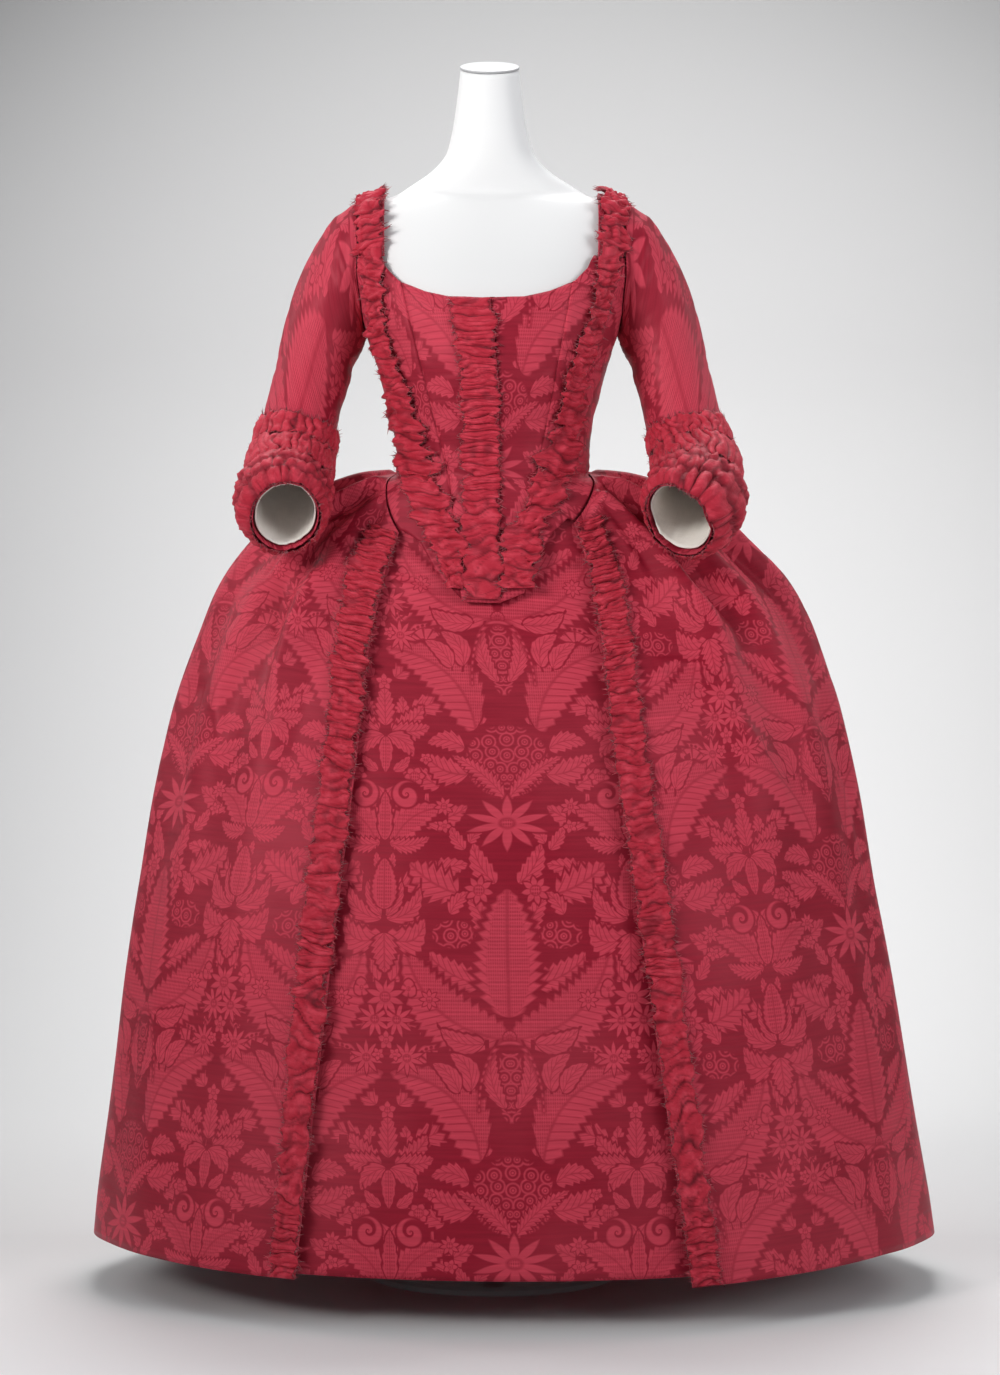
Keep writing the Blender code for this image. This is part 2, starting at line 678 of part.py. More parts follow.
def above_bodice(point):
    """Whether a point of the base surface is past the neckline, the strap or the armhole."""
    x = bodice_x(point)
    hole = ((point.y - ARMHOLE_Y) / ARMHOLE_HALF_DEPTH) ** 2
    hole += ((point.z - ARMHOLE_Z) / ARMHOLE_HALF_HEIGHT) ** 2
    if hole < 1 and abs(x) > 0.1:
        return True
    if point.y > ARMHOLE_Y:
        return point.z > BACK_NECK_Z
    offset = abs(x - NECKLINE_MIDDLE)
    return point.z > min(STRAP_JOIN_Z, lookup(NECK, "offset", offset, "z"))


def bodice_top(angle_at):
    """Place of the bodice's upper edge on a path that gives an angle for each place."""
    low, high = 0.0, float(WAIST)
    for _ in range(30):
        middle = (low + high) / 2
        if above_bodice(base(angle_at(middle), middle)):
            low = middle
        else:
            high = middle
    return high


def bodice_bottom(angle_at):
    """Place of the bodice's lower edge: the tab in front, the waist seam elsewhere."""
    low, high = float(WAIST), float(RING["hip"])
    for _ in range(30):
        middle = (low + high) / 2
        angle = angle_at(middle)
        degrees = math.degrees(angle)
        side = "right" if math.cos(angle) > 0 else "left"
        from_side = degrees if side == "right" else -180 - degrees
        if side == "left" and degrees > 0:
            from_side = 180 - degrees
        if from_side < CORNER[side]:
            point = base(angle, middle)
            past = point.z < lookup(TAB, "x", bodice_x(point), "z")
        else:
            past = middle > waist_seam(side, from_side)
        if past:
            high = middle
        else:
            low = middle
    return low


def x_path(table, name, shift=0.0):
    """Angle at each place of a line that a table gives as x for each z, on the front."""
    def angle_at(place):
        angle = -math.pi / 2
        for _ in range(4):
            z = base(angle, place).z
            x = BODICE_MIDDLE + lookup(table, "z", z, name) + shift
            angle = front_angle(x, place)
        return angle
    return angle_at


def steady(angle):
    return lambda place: angle


def panel(name, start, end, shares):
    """Bodice panel between two seam lines, each an angle for each place."""
    columns = []
    for share in shares:
        def angle_at(place, share=share):
            return mix(start(place), end(place), share)
        top, bottom = bodice_top(angle_at), bodice_bottom(angle_at)
        places = [mix(WAIST, top, i ** 1.2) for i in spread(1.0, 0.0, ROWS_ABOVE_WAIST)]
        places += [mix(WAIST, bottom, i ** 1.5) for i in spread(0.0, 1.0, ROWS_BELOW_WAIST)[1:]]
        columns.append([on_base(angle_at(place), place) for place in places])
    rows = [list(row) for row in zip(*columns)]
    cloth(name, rows, "silk_damask", SILK)


def make_bodice():
    half_gap = SEAM_GAP / 2
    even = spread(0.0, 1.0, FRONT_PANEL_COLUMNS)
    opening_left = x_path(CENTRE, "opening_x", -half_gap)
    opening_right = x_path(CENTRE, "opening_x", half_gap)
    panel("bodice_front_left", x_path(FRONT, "left_x", half_gap), opening_left, even)
    panel("bodice_front_right", opening_right, x_path(FRONT, "right_x", -half_gap), even)

    for side in ("left", "right"):
        sign = 1 if side == "right" else -1
        front_line = x_path(FRONT, side + "_x", sign * half_gap)
        back_line = steady(side_turn(side, SIDE_SEAM_ANGLE - SEAM_TURN))
        shares = side_shares(side, front_line)
        if side == "right":
            panel("bodice_side_right", front_line, back_line, shares)
        else:
            def left_front(place, line=front_line):
                return line(place) + 2 * math.pi
            shares = [1 - share for share in reversed(shares)]
            panel("bodice_side_left", back_line, left_front, shares)

        back_seam = steady(side_turn(side, SIDE_SEAM_ANGLE + SEAM_TURN))
        middle = steady(side_turn(side, 90 - SEAM_TURN))
        shares = spread(0.0, 1.0, BACK_PANEL_COLUMNS)
        if side == "right":
            panel("bodice_back_right", back_seam, middle, shares)
        else:
            panel("bodice_back_left", middle, back_seam, shares)


def side_shares(side, front_line):
    """Columns of a side panel that end on the grid angles where it meets the skirt."""
    end = SIDE_SEAM_ANGLE
    shares = [0.0, 0.12]
    for degrees in grid_degrees(CORNER[side], end, BODICE_GRID)[:-1]:
        place = waist_seam(side, degrees)
        angle = math.degrees(front_line(place))
        start = angle if side == "right" else -180 - angle
        shares.append((degrees - start) / (end - start))
    return sorted(shares) + [1.0]


def strap_place(side, along, across):
    """Angle and place on a shoulder strap; along runs from the front to the back join."""
    turn = math.pi * (along - 0.5)
    y = ARMHOLE_Y + (ARMHOLE_HALF_DEPTH + STRAP_MARGIN) * math.sin(turn)
    z = ARMHOLE_Z + (ARMHOLE_HALF_HEIGHT + STRAP_MARGIN) * math.cos(turn)
    end_z = 2 * SEAM_GAP + (STRAP_JOIN_Z if along < 0.5 else BACK_NECK_Z)
    z = max(z, end_z)
    outer = (side_angle("right", y, z), place_of_z(z))

    top_z = glide(BASE["side_z"], STRAP_TOP_PLACE)
    inner_z = mix(end_z, top_z, 1 - abs(2 * along - 1) ** 1.6)
    place = place_of_z(inner_z)
    half = glide(BASE["half_width"], place)
    c = min(1.0, STRAP_INNER_X / half) ** (glide(BASE["squareness"], place) / 2)
    inner = (math.copysign(math.acos(c), along - 0.5), place)

    angle, place = mix(inner[0], outer[0], across), mix(inner[1], outer[1], across)
    return (angle if side == "right" else math.pi - angle), place


def strap_lift(along):
    """A strap stands a little clear of the top of the shoulder."""
    return STRAP_RISE * math.sin(math.pi * along)


def make_strap(side):
    columns = []
    for across in spread(0.0, 1.0, 3):
        columns.append([on_base(*strap_place(side, along, across), strap_lift(along))
                        for along in spread(0.0, 1.0, 12)])
    rows = [list(row) for row in zip(*columns)]
    cloth("shoulder_strap_" + side, rows, "silk_damask", SILK, flip=side == "left")


# Sleeves, linings and cuffs

def sleeve_table(side):
    return columns_of(SLEEVE_COLUMNS, UPPER_SLEEVE + LOWER_SLEEVE[side])


def sleeve_surface(side):
    """Surface of a sleeve: place 0 is the armhole on the bodice, 1 and on are the rings."""
    table = sleeve_table(side)
    sign = 1 if side == "right" else -1

    def armhole(turn):
        y = ARMHOLE_Y - (ARMHOLE_HALF_DEPTH + STRAP_MARGIN) * math.sin(turn)
        z = ARMHOLE_Z + (ARMHOLE_HALF_HEIGHT + STRAP_MARGIN) * math.cos(turn)
        lift = WALL + RUCHE_CLEARANCE + STRAP_RISE * max(0.0, math.cos(turn))
        return on_base(side_angle(side, y, z), place_of_z(z), lift)

    def ring(turn, place):
        at = {name: glide(table[name], place) for name in table}
        facing = Vector((at["facing_x"], at["facing_y"], at["facing_z"])).normalized()
        outward = Vector((1, 0, 0))
        outward = (outward - facing * outward.dot(facing)).normalized()
        forward = facing.cross(outward)
        point = Vector((at["x"], at["y"], at["z"]))
        point += outward * (math.cos(turn) * at["half_out"])
        point += forward * (math.sin(turn) * at["half_front"])
        return Vector((BODICE_MIDDLE + sign * point.x, point.y, point.z))

    def surface(turn, place):
        if place >= 1:
            return ring(turn, min(place - 1, len(table["x"]) - 1))
        return armhole(turn).lerp(ring(turn, 0.0), max(0.0, place))

    return surface


SLEEVE_END = len(UPPER_SLEEVE) + 3


def make_sleeve(side):
    surface = sleeve_surface(side)
    turns = [2 * math.pi * k / SLEEVE_SEGMENTS for k in range(SLEEVE_SEGMENTS)]
    rows = [[surface(turn, place) for turn in turns] for place in range(SLEEVE_END + 1)]
    cloth("sleeve_" + side, rows, "silk_damask", SILK, round_rows=True, flip=side == "right")

    def lining_point(turn, place):
        inner = min(place, SLEEVE_END - 0.02)
        sign = 1 if side == "left" else -1
        shift = lifted(surface, turn, inner, sign * (WALL + SEAM_GAP)) - surface(turn, inner)
        return surface(turn, place) - shift

    rows = [[lining_point(turn, place) for turn in turns]
            for place in range(LINING_FROM, SLEEVE_END + 1)]
    cloth("sleeve_lining_" + side, rows, "linen_lining", LINEN, round_rows=True,
          flip=side == "right")


def wave_steps(waves):
    """Heights along a ruche from 0 to 1, and their places."""
    count = waves * len(WAVE_PROFILE)
    return [(i / count, WAVE_PROFILE[i % len(WAVE_PROFILE)]) for i in range(count)]


def make_cuff(side, name, start, middle, end, wave_height, puff):
    """A gathered band round the sleeve, fullest in its middle."""
    smooth = sleeve_surface(side)

    def surface(turn, place):
        ring = min(int(place), SLEEVE_END - 1)
        return smooth(turn, ring).lerp(smooth(turn, ring + 1), place - ring)

    sign = 1 if side == "left" else -1
    rows = []
    for place, full in ((start, CUFF_EDGE_FULLNESS), (middle, 1.0), (end, CUFF_EDGE_FULLNESS)):
        inner = min(place, SLEEVE_END - 0.02)
        row = []
        for along, wave in wave_steps(CUFF_WAVES):
            turn = 2 * math.pi * along
            lift = WALL + CUFF_CLEARANCE + wave_height * wave * full + puff * (full - CUFF_EDGE_FULLNESS)
            shift = lifted(surface, turn, inner, sign * lift) - surface(turn, inner)
            row.append(surface(turn, place) + shift)
        rows.append(row)
    cloth(f"cuff_{name}_{side}", rows, "silk_ruche", RUCHE_SILK, round_rows=True,
          flip=side == "right", wall=RUCHE_WALL)


# Ruched trims

def no_rise(along):
    return 0.0


def ruche(name, edges, point_at, waves, height, clearance=RUCHE_CLEARANCE, rise=no_rise):
    """A gathered strip between two lines; edges gives the two for each share of its length."""
    rows = []
    steps = wave_steps(waves) + [(1.0, 0.0)]
    for along, wave in steps:
        start, end = edges(along)
        row = []
        for across in (0.0, 0.5, 1.0):
            full = 1.0 if across == 0.5 else 0.6
            lift = WALL + clearance + rise(along) + height * wave * full
            row.append(point_at(mix(start[0], end[0], across),
                                mix(start[1], end[1], across), lift))
        rows.append(row)
    cloth(name, rows, "silk_ruche", RUCHE_SILK, wall=RUCHE_WALL)


def make_centre_ruche():
    top = front_place(BODICE_MIDDLE + NECKLINE_MIDDLE, NECK["z"][0])
    bottom = front_place(BODICE_MIDDLE, CENTRE["z"][0] + 0.003)

    def edges(along):
        place = mix(top + 0.05, bottom, along)
        z = base(-math.pi / 2, place).z
        width = lookup(CENTRE, "z", z, "ruche_width")
        right = x_path(CENTRE, "opening_x")(place)
        left = x_path(CENTRE, "opening_x", -width)(place)
        return (left, place), (right, place)

    ruche("centre_front_ruche", edges, on_base, CENTRE_WAVES, CENTRE_WAVE_HEIGHT)


TRIM = columns_of(ROBING_COLUMNS, ROBING)


def make_robing(side):
    """Ruche from the shoulder down the bodice and along the tab."""
    sign = 1 if side == "right" else -1

    def on_strap(along):
        """Place on the strap, from its top to its front join."""
        return 0.5 * (1 - along / STRAP_SHARE) + 0.03

    def rise(along):
        return strap_lift(on_strap(along)) if along < STRAP_SHARE else 0.0

    def line(z, offset):
        x = lookup(TRIM, "z", z, side + "_x")
        width = lookup(TRIM, "z", z, side + "_width")
        x += BODICE_MIDDLE + offset * width
        place = front_place(x, z)
        return front_angle(x, place), place

    def edges(along):
        if along < STRAP_SHARE:
            inner = strap_place("right", on_strap(along), 0.10)
            outer = strap_place("right", on_strap(along), 0.74)
            if side == "left":
                inner = (-math.pi - inner[0], inner[1])
                outer = (-math.pi - outer[0], outer[1])
        else:
            share = (along - STRAP_SHARE) / (1 - STRAP_SHARE)
            z = mix(TRIM["z"][-1], TRIM["z"][0], share)
            inner, outer = line(z, -sign * 0.5), line(z, sign * 0.5)
        return (inner, outer) if side == "right" else (outer, inner)

    ruche("robing_" + side, edges, on_base, ROBING_WAVES, ROBING_WAVE_HEIGHT,
          ROBING_CLEARANCE, rise)


def make_skirt_ruche(side):
    """Ruche down the front edge of the gown's skirt."""
    top = waist_seam(side, CORNER[side]) + 0.08

    def edges(along):
        place = mix(top, HEM - 0.02, along)
        z = base(side_turn(side, edge_degrees(side, place)), place).z
        width = lookup(EDGE, "z", z, side + "_width")
        inner = edge_degrees(side, place, 0.001)
        outer = edge_degrees(side, place, width)
        pair = (inner, place), (outer, place)
        return pair if side == "right" else pair[::-1]

    def point_at(degrees, place, lift):
        return gown_point(side, degrees, place, lift)

    ruche("skirt_ruche_" + side, edges, point_at, SKIRT_RUCHE_WAVES, SKIRT_WAVE_HEIGHT)


def main():
    for old in list(bpy.data.objects):
        bpy.data.objects.remove(old)
    bpy.context.scene.collection.children.link(bpy.data.collections.new(COLLECTION))

    make_form()
    make_cap()
    make_stand()
    make_petticoat()
    make_bodice()
    make_centre_ruche()
    for side in ("left", "right"):
        make_gown_skirt(side)
        make_strap(side)
        make_sleeve(side)
        for row in CUFFS:
            make_cuff(side, **dict(zip(CUFF_COLUMNS, row)))
        make_robing(side)
        make_skirt_ruche(side)


main()
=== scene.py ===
"""Looks of an open gown with its petticoat in crimson silk damask, on a limbless dress form.

Metres, +Z up, the front faces -Y. Left and right are those of a viewer in front of the gown.
Every piece of cloth lies on the surface that BASE_RINGS describes, as the solids do.
"""

import math

import bmesh
import bpy
import numpy as np
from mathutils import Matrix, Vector


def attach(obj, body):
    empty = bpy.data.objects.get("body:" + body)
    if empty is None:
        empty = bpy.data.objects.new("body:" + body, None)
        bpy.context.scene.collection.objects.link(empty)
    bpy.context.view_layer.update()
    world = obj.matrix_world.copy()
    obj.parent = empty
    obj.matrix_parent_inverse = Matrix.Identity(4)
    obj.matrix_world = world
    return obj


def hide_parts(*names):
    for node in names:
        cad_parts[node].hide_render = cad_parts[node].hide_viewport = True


bl_info = {
    "name": "Damask gown on a dress form",
    "version": (1, 0, 0),
    "blender": (4, 5, 0),
    "location": "View3D > Sidebar > Gown",
    "description": "Makes the cloth, ruches and dress form of an open gown in silk damask",
    "category": "Add Mesh",
}

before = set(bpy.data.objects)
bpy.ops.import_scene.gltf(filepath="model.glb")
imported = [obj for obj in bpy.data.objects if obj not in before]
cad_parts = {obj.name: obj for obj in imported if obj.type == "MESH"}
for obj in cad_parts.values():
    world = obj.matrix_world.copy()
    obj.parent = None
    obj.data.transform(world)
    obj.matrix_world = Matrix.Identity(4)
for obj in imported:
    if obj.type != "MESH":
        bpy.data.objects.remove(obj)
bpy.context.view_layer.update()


def columns_of(names, rows):
    """A dictionary of the table's columns."""
    return {name: [row[i] for row in rows] for i, name in enumerate(names)}


def rows_of(names, rows):
    """Each row of a table as a dictionary."""
    return [dict(zip(names, row)) for row in rows]


# Cloth and clearances
WALL = 0.0015
RUCHE_WALL = 0.0009
SEAM_GAP = 0.0004
FORM_CLEARANCE = 0.0009
BODICE_EASE = 0.0019
RUCHE_CLEARANCE = 0.0010
ROBING_CLEARANCE = 0.0016
SHOULDER_EASE = 0.0036
UNDER_WAIST = 0.0024
HIP_SET_BACK = 0.006
HEM_SET_BACK = 0.004
WAISTBAND = 0.3

# The rings of the surface that the gown lies on, from the shoulders down to the hem
BASE_COLUMNS = ("name", "half_width", "side_z", "front_y", "front_z", "back_y", "back_z",
                "centre_x", "centre_y", "squareness")
BASE_RINGS = (
    ("shoulder_top", 0.1180, 1.3390, -0.083, 1.3390, 0.012, 1.3390, -0.0280, -0.040, 2.00),
    ("shoulder_high", 0.1500, 1.3280, -0.095, 1.3280, 0.024, 1.3280, -0.0280, -0.041, 2.20),
    ("shoulder_edge", 0.1720, 1.3080, -0.109, 1.3080, 0.037, 1.3080, -0.0280, -0.042, 2.40),
    ("shoulder", 0.1775, 1.2800, -0.125, 1.2800, 0.047, 1.2800, -0.0280, -0.042, 2.50),
    ("armhole", 0.1740, 1.2420, -0.147, 1.2420, 0.055, 1.2420, -0.0280, -0.042, 2.50),
    ("neckline", 0.1630, 1.2000, -0.168, 1.2000, 0.059, 1.2000, -0.0275, -0.045, 2.35),
    ("underarm", 0.1540, 1.1680, -0.177, 1.1680, 0.060, 1.1680, -0.0270, -0.048, 2.25),
    ("bust", 0.1435, 1.1400, -0.179, 1.1400, 0.058, 1.1400, -0.0270, -0.050, 2.20),
    ("rib_high", 0.1340, 1.1050, -0.176, 1.1050, 0.053, 1.1050, -0.0270, -0.053, 2.15),
    ("rib", 0.1265, 1.0750, -0.171, 1.0750, 0.047, 1.0750, -0.0270, -0.055, 2.10),
    ("rib_low", 0.1195, 1.0470, -0.164, 1.0470, 0.041, 1.0470, -0.0265, -0.057, 2.05),
    ("waist_high", 0.1165, 1.0180, -0.157, 1.0160, 0.036, 1.0160, -0.0260, -0.059, 2.00),
    ("waist", 0.1165, 0.9930, -0.1530, 0.9850, 0.0330, 0.9850, -0.0260, -0.060, 2.00),
    ("hip_pad_inner", 0.1580, 0.9880, -0.1560, 0.9580, 0.0550, 0.9750, -0.0250, -0.052, 2.00),
    ("hip_pad_top", 0.2100, 0.9710, -0.1620, 0.9120, 0.0920, 0.9550, -0.0240, -0.042, 2.00),
    ("hip_pad_outer", 0.2620, 0.9360, -0.1740, 0.8600, 0.1400, 0.9200, -0.0220, -0.033, 2.00),
    ("hip_high", 0.3065, 0.8930, -0.1900, 0.8120, 0.1850, 0.8800, -0.0200, -0.028, 2.00),
    ("hip", 0.3425, 0.8500, -0.2080, 0.7660, 0.2220, 0.8380, -0.0150, -0.024, 2.05),
    ("hip_low", 0.3730, 0.7880, -0.2310, 0.7100, 0.2560, 0.7780, -0.0110, -0.020, 2.10),
    ("side_high", 0.4035, 0.7130, -0.2580, 0.6420, 0.2870, 0.7050, -0.0090, -0.016, 2.10),
    ("side", 0.4320, 0.6020, -0.2920, 0.5520, 0.3180, 0.5980, -0.0090, -0.012, 2.10),
    ("knee_high", 0.4505, 0.4900, -0.3190, 0.4600, 0.3380, 0.4880, -0.0090, -0.008, 2.08),
    ("knee", 0.4665, 0.4030, -0.3360, 0.3900, 0.3500, 0.4020, -0.0075, -0.010, 2.05),
    ("calf", 0.4865, 0.2790, -0.3550, 0.2720, 0.3580, 0.2780, -0.0045, -0.005, 2.00),
    ("ankle", 0.5065, 0.1430, -0.3720, 0.1410, 0.3670, 0.1420, -0.0020, -0.001, 2.00),
    ("hem", 0.5170, 0.0620, -0.3800, 0.0620, 0.3710, 0.0620, 0.0000, 0.000, 2.00),
)
NECK_RINGS = (
    ("neck_top", 0.0380, 1.4890, -0.0880, 1.4770, -0.0100, 1.5010, -0.0300, -0.0490, 2.00),
    ("neck", 0.0430, 1.4480, -0.0860, 1.4440, -0.0040, 1.4520, -0.0300, -0.0450, 2.00),
    ("neck_low", 0.0490, 1.4110, -0.0850, 1.4080, 0.0020, 1.4140, -0.0300, -0.0420, 2.00),
    ("neck_base", 0.0560, 1.3870, -0.0845, 1.3840, 0.0060, 1.3900, -0.0295, -0.0400, 2.00),
    ("neck_root", 0.0740, 1.3660, -0.0835, 1.3640, 0.0080, 1.3680, -0.0290, -0.0400, 2.00),
    ("collar_bone", 0.0980, 1.3500, -0.0825, 1.3490, 0.0100, 1.3510, -0.0285, -0.0400, 2.00),
)
HIP_RINGS = (
    ("form_waist_low", 0.1130, 0.9800, -0.1440, 0.9765, 0.0250, 0.9765, -0.0260, -0.060, 2.00),
    ("form_hip_high", 0.1200, 0.9450, -0.1400, 0.9400, 0.0300, 0.9450, -0.0260, -0.056, 2.00),
    ("form_hip", 0.1270, 0.8700, -0.1360, 0.8700, 0.0380, 0.8700, -0.0260, -0.050, 2.00),
    ("form_seat", 0.1240, 0.8200, -0.1300, 0.8200, 0.0380, 0.8200, -0.0260, -0.047, 2.00),
    ("form_bottom", 0.1080, 0.7950, -0.1140, 0.7950, 0.0240, 0.7950, -0.0260, -0.046, 2.00),
)
NECK_LEAN = math.radians(17.0)
CAP_RADIUS = 0.0365
CAP_THICKNESS = 0.003
CAP_ROUNDING = 0.0009
CAP_GROOVE = ((0.0042, 0.0), (0.0038, 0.00025), (0.0034, 0.0))    # in from the rim, and deep

# Bodice lines, as distances to the right of the bodice's own middle
BODICE_MIDDLE = -0.027
NECKLINE_MIDDLE = -0.006
NECK = columns_of(("offset", "z"), (
    (0.000, 1.2000), (0.045, 1.2020), (0.075, 1.2090),
    (0.105, 1.2220), (0.122, 1.2400), (0.130, 1.2640),
))
BACK_NECK_Z = 1.285
STRAP_JOIN_Z = 1.254
ARMHOLE_Y = -0.042
ARMHOLE_Z = 1.244
ARMHOLE_HALF_DEPTH = 0.048
ARMHOLE_HALF_HEIGHT = 0.077
STRAP_INNER_X = 0.130
STRAP_RISE = 0.003
STRAP_TOP_PLACE = 0.45
STRAP_MARGIN = 0.003
STRAP_WIDTH, STRAP_LENGTH = 0.045, 0.22
# The closing's line and its ruche, the front seams, the lower edge of the tab, and the robings
CENTRE = columns_of(("z", "opening_x", "ruche_width"), (
    (0.8350, 0.0108, 0.045), (0.9900, 0.0090, 0.043),
    (1.1000, 0.0085, 0.044), (1.2000, -0.0020, 0.047),
))
FRONT = columns_of(("z", "left_x", "right_x"), (
    (0.8350, -0.036, 0.044), (0.9800, -0.0504, 0.0516),
    (1.0770, -0.0744, 0.0700), (1.2200, -0.1090, 0.0960),
))
TAB = columns_of(("x", "z"), (
    (-0.1032, 0.9202), (-0.0852, 0.9070), (-0.0660, 0.8710), (-0.0516, 0.8554),
    (-0.0324, 0.8362), (0.0084, 0.8350), (0.0384, 0.8470), (0.0552, 0.8902),
    (0.0708, 0.9178), (0.0960, 0.9418),
))
SIDE_SEAM_ANGLE = 35.0
SEAM_TURN = 0.08
WAIST_SEAM_TOP = 0.10
WAIST_SEAM_BACK = 1.00
WAIST_SEAM_FRONT = {"left": 2.90, "right": 2.25}
CORNER_ANGLE = 62.0
PLEAT_START = 0.3
SKIRT_TOP_GAP = 0.056
TRIM = columns_of(("z", "left_x", "left_width", "right_x", "right_width"), (
    (0.8510, -0.0420, 0.013, 0.0290, 0.026), (0.8866, -0.0500, 0.024, 0.0360, 0.033),
    (0.9220, -0.0590, 0.033, 0.0390, 0.032), (0.9580, -0.0765, 0.038, 0.0560, 0.036),
    (0.9817, -0.0845, 0.036, 0.0690, 0.036), (1.0175, -0.0910, 0.034, 0.0756, 0.036),
    (1.0530, -0.1035, 0.027, 0.0900, 0.032), (1.1127, -0.1160, 0.025, 0.0990, 0.022),
    (1.1600, -0.1340, 0.022, 0.1180, 0.019), (1.2080, -0.1400, 0.022, 0.1300, 0.020),
    (1.2540, -0.1450, 0.026, 0.1430, 0.026),
))
STRAP_SHARE = 0.24

# Skirt: the front edge of each half and the width of the ruche on it
EDGE = columns_of(("z", "left_x", "right_x", "left_width", "right_width"), (
    (0.0600, -0.2530, 0.2022, 0.030, 0.034), (0.4264, -0.2118, 0.1494, 0.039, 0.038),
    (0.6450, -0.1859, 0.1186, 0.039, 0.036), (0.7925, -0.1713, 0.1025, 0.041, 0.036),
    (0.8750, -0.1536, 0.0892, 0.044, 0.034), (0.9340, -0.1330, 0.0700, 0.036, 0.030),
    (0.9800, -0.1200, 0.0620, 0.030, 0.026),
))
CROWDING = 1.3
HEM_DROP = {"left": 0.006, "right": 0.012}
HEM_DROP_ANGLE = 35.0
# Pleats: degrees from the side, width in degrees, and depth at the top, the hip and the hem
PLEATS = (
    (-46.0, 7.0, 0.004, 0.011, 0.000), (-29.0, 7.0, 0.006, 0.013, 0.001),
    (-12.0, 7.5, 0.006, 0.010, 0.002), (7.0, 8.0, 0.006, 0.012, 0.004),
    (26.0, 8.0, 0.007, 0.013, 0.007), (44.0, 8.0, 0.008, 0.014, 0.009),
    (61.0, 8.0, 0.008, 0.014, 0.010), (78.0, 8.0, 0.008, 0.014, 0.010),
)

# Sleeves, in a frame where +x points away from the body
SLEEVE_COLUMNS = ("x", "y", "z", "facing_x", "facing_y", "facing_z", "half_out", "half_front")
UPPER_SLEEVE = (
    (0.1745, -0.042, 1.2370, 0.900, 0.000, -0.220, 0.0720, 0.0520),
    (0.1870, -0.042, 1.2150, 0.888, 0.000, -0.460, 0.0640, 0.0535),
    (0.2040, -0.045, 1.1725, 0.628, -0.050, -0.778, 0.0520, 0.0515),
    (0.2160, -0.051, 1.1340, 0.352, -0.120, -0.936, 0.0455, 0.0500),
    (0.2240, -0.059, 1.0990, 0.250, -0.180, -0.957, 0.0447, 0.0490),
    (0.2373, -0.080, 1.0400, 0.180, -0.300, -0.940, 0.0440, 0.0480),
)
LOWER_SLEEVE = {
    "left": (
        (0.2440, -0.122, 0.9950, 0.050, -0.550, -0.840, 0.0450, 0.0470),
        (0.2460, -0.167, 0.9640, -0.080, -0.700, -0.700, 0.0420, 0.0470),
        (0.2450, -0.210, 0.9360, -0.200, -0.800, -0.550, 0.0385, 0.0470),
    ),
    "right": (
        (0.2460, -0.125, 0.9960, 0.000, -0.560, -0.830, 0.0460, 0.0470),
        (0.2400, -0.178, 0.9640, -0.250, -0.680, -0.690, 0.0450, 0.0470),
        (0.2190, -0.226, 0.9320, -0.560, -0.660, -0.500, 0.0420, 0.0470),
    ),
}
LINING_FROM = 6
SLEEVE_GIRTH, LINING_GIRTH, CUFF_GIRTH = 0.288, 0.28, 0.33
# Cuffs: name, place of each edge, depth of the pleats and of the puff, tiers, number of folds,
# width of a furrow, depth of the facets, and seed
CUFFS = (
    ("upper", 5.86, 6.46, 0.0042, 0.0020, 1, 28, 0.20, 0.0014, 61),
    ("middle", 6.50, 7.40, 0.0050, 0.0030, 1, 24, 0.13, 0.0014, 64),
    ("lower", 7.44, 9.00, 0.0062, 0.0100, 3, 17, 0.20, 0.0028, 67),
)
SIDES = ("left", "right")
SIGN = {"left": -1, "right": 1}

# Rows and columns of points in each grid
PETTICOAT_GRID = (130, 180)
SKIRT_GRID = (170, 182)
PANEL_ROWS = (70, 36)       # above and below the waist
FRONT_COLUMNS, SIDE_COLUMNS, BACK_COLUMNS = 36, 60, 40
STRAP_GRID = (90, 26)
SLEEVE_GRID = (128, 96)
LINING_GRID = (30, 96)
CUFF_GRID = (20, 220)
FORM_GRID = (120, 100)
CAP_COLUMNS = 96

BASE = columns_of(BASE_COLUMNS, BASE_RINGS)
RING = {name: i for i, name in enumerate(BASE["name"])}
WAIST = RING["waist"]
HEM = RING["hem"]


# Numbers along tables, and smooth noise

def glide(values, place):
    """The values at places in a list, smooth and with no overshoot."""
    values = np.asarray(values, float)
    step = np.diff(values)
    before, after = step[:-1], step[1:]
    same_way = before * after > 0
    inner = np.where(same_way, 2 * before * after / np.where(same_way, before + after, 1.0), 0.0)
    slope = np.concatenate(([step[0]], inner, [step[-1]]))
    i = np.clip(np.floor(place).astype(int), 0, len(values) - 2)
    f = np.clip(place - i, 0.0, 1.0)
    return (values[i] + step[i] * (3 * f * f - 2 * f ** 3)
            + slope[i] * (f ** 3 - 2 * f * f + f) + slope[i + 1] * (f ** 3 - f * f))


def lookup(table, key, at, name):
    """Straight-line values of one column where the key column has the given values."""
    return np.interp(at, table[key], table[name])


def mix(a, b, f):
    return a + (b - a) * f


def ease(f):
    f = np.clip(f, 0.0, 1.0)
    return f * f * (3 - 2 * f)


def lattice_value(i, j, seed):
    """A repeatable number from 0 to 1 for each whole step of a lattice."""
    mixed = np.sin(i * 127.1 + j * 311.7 + seed * 74.7) * 43758.5453
    return mixed - np.floor(mixed)


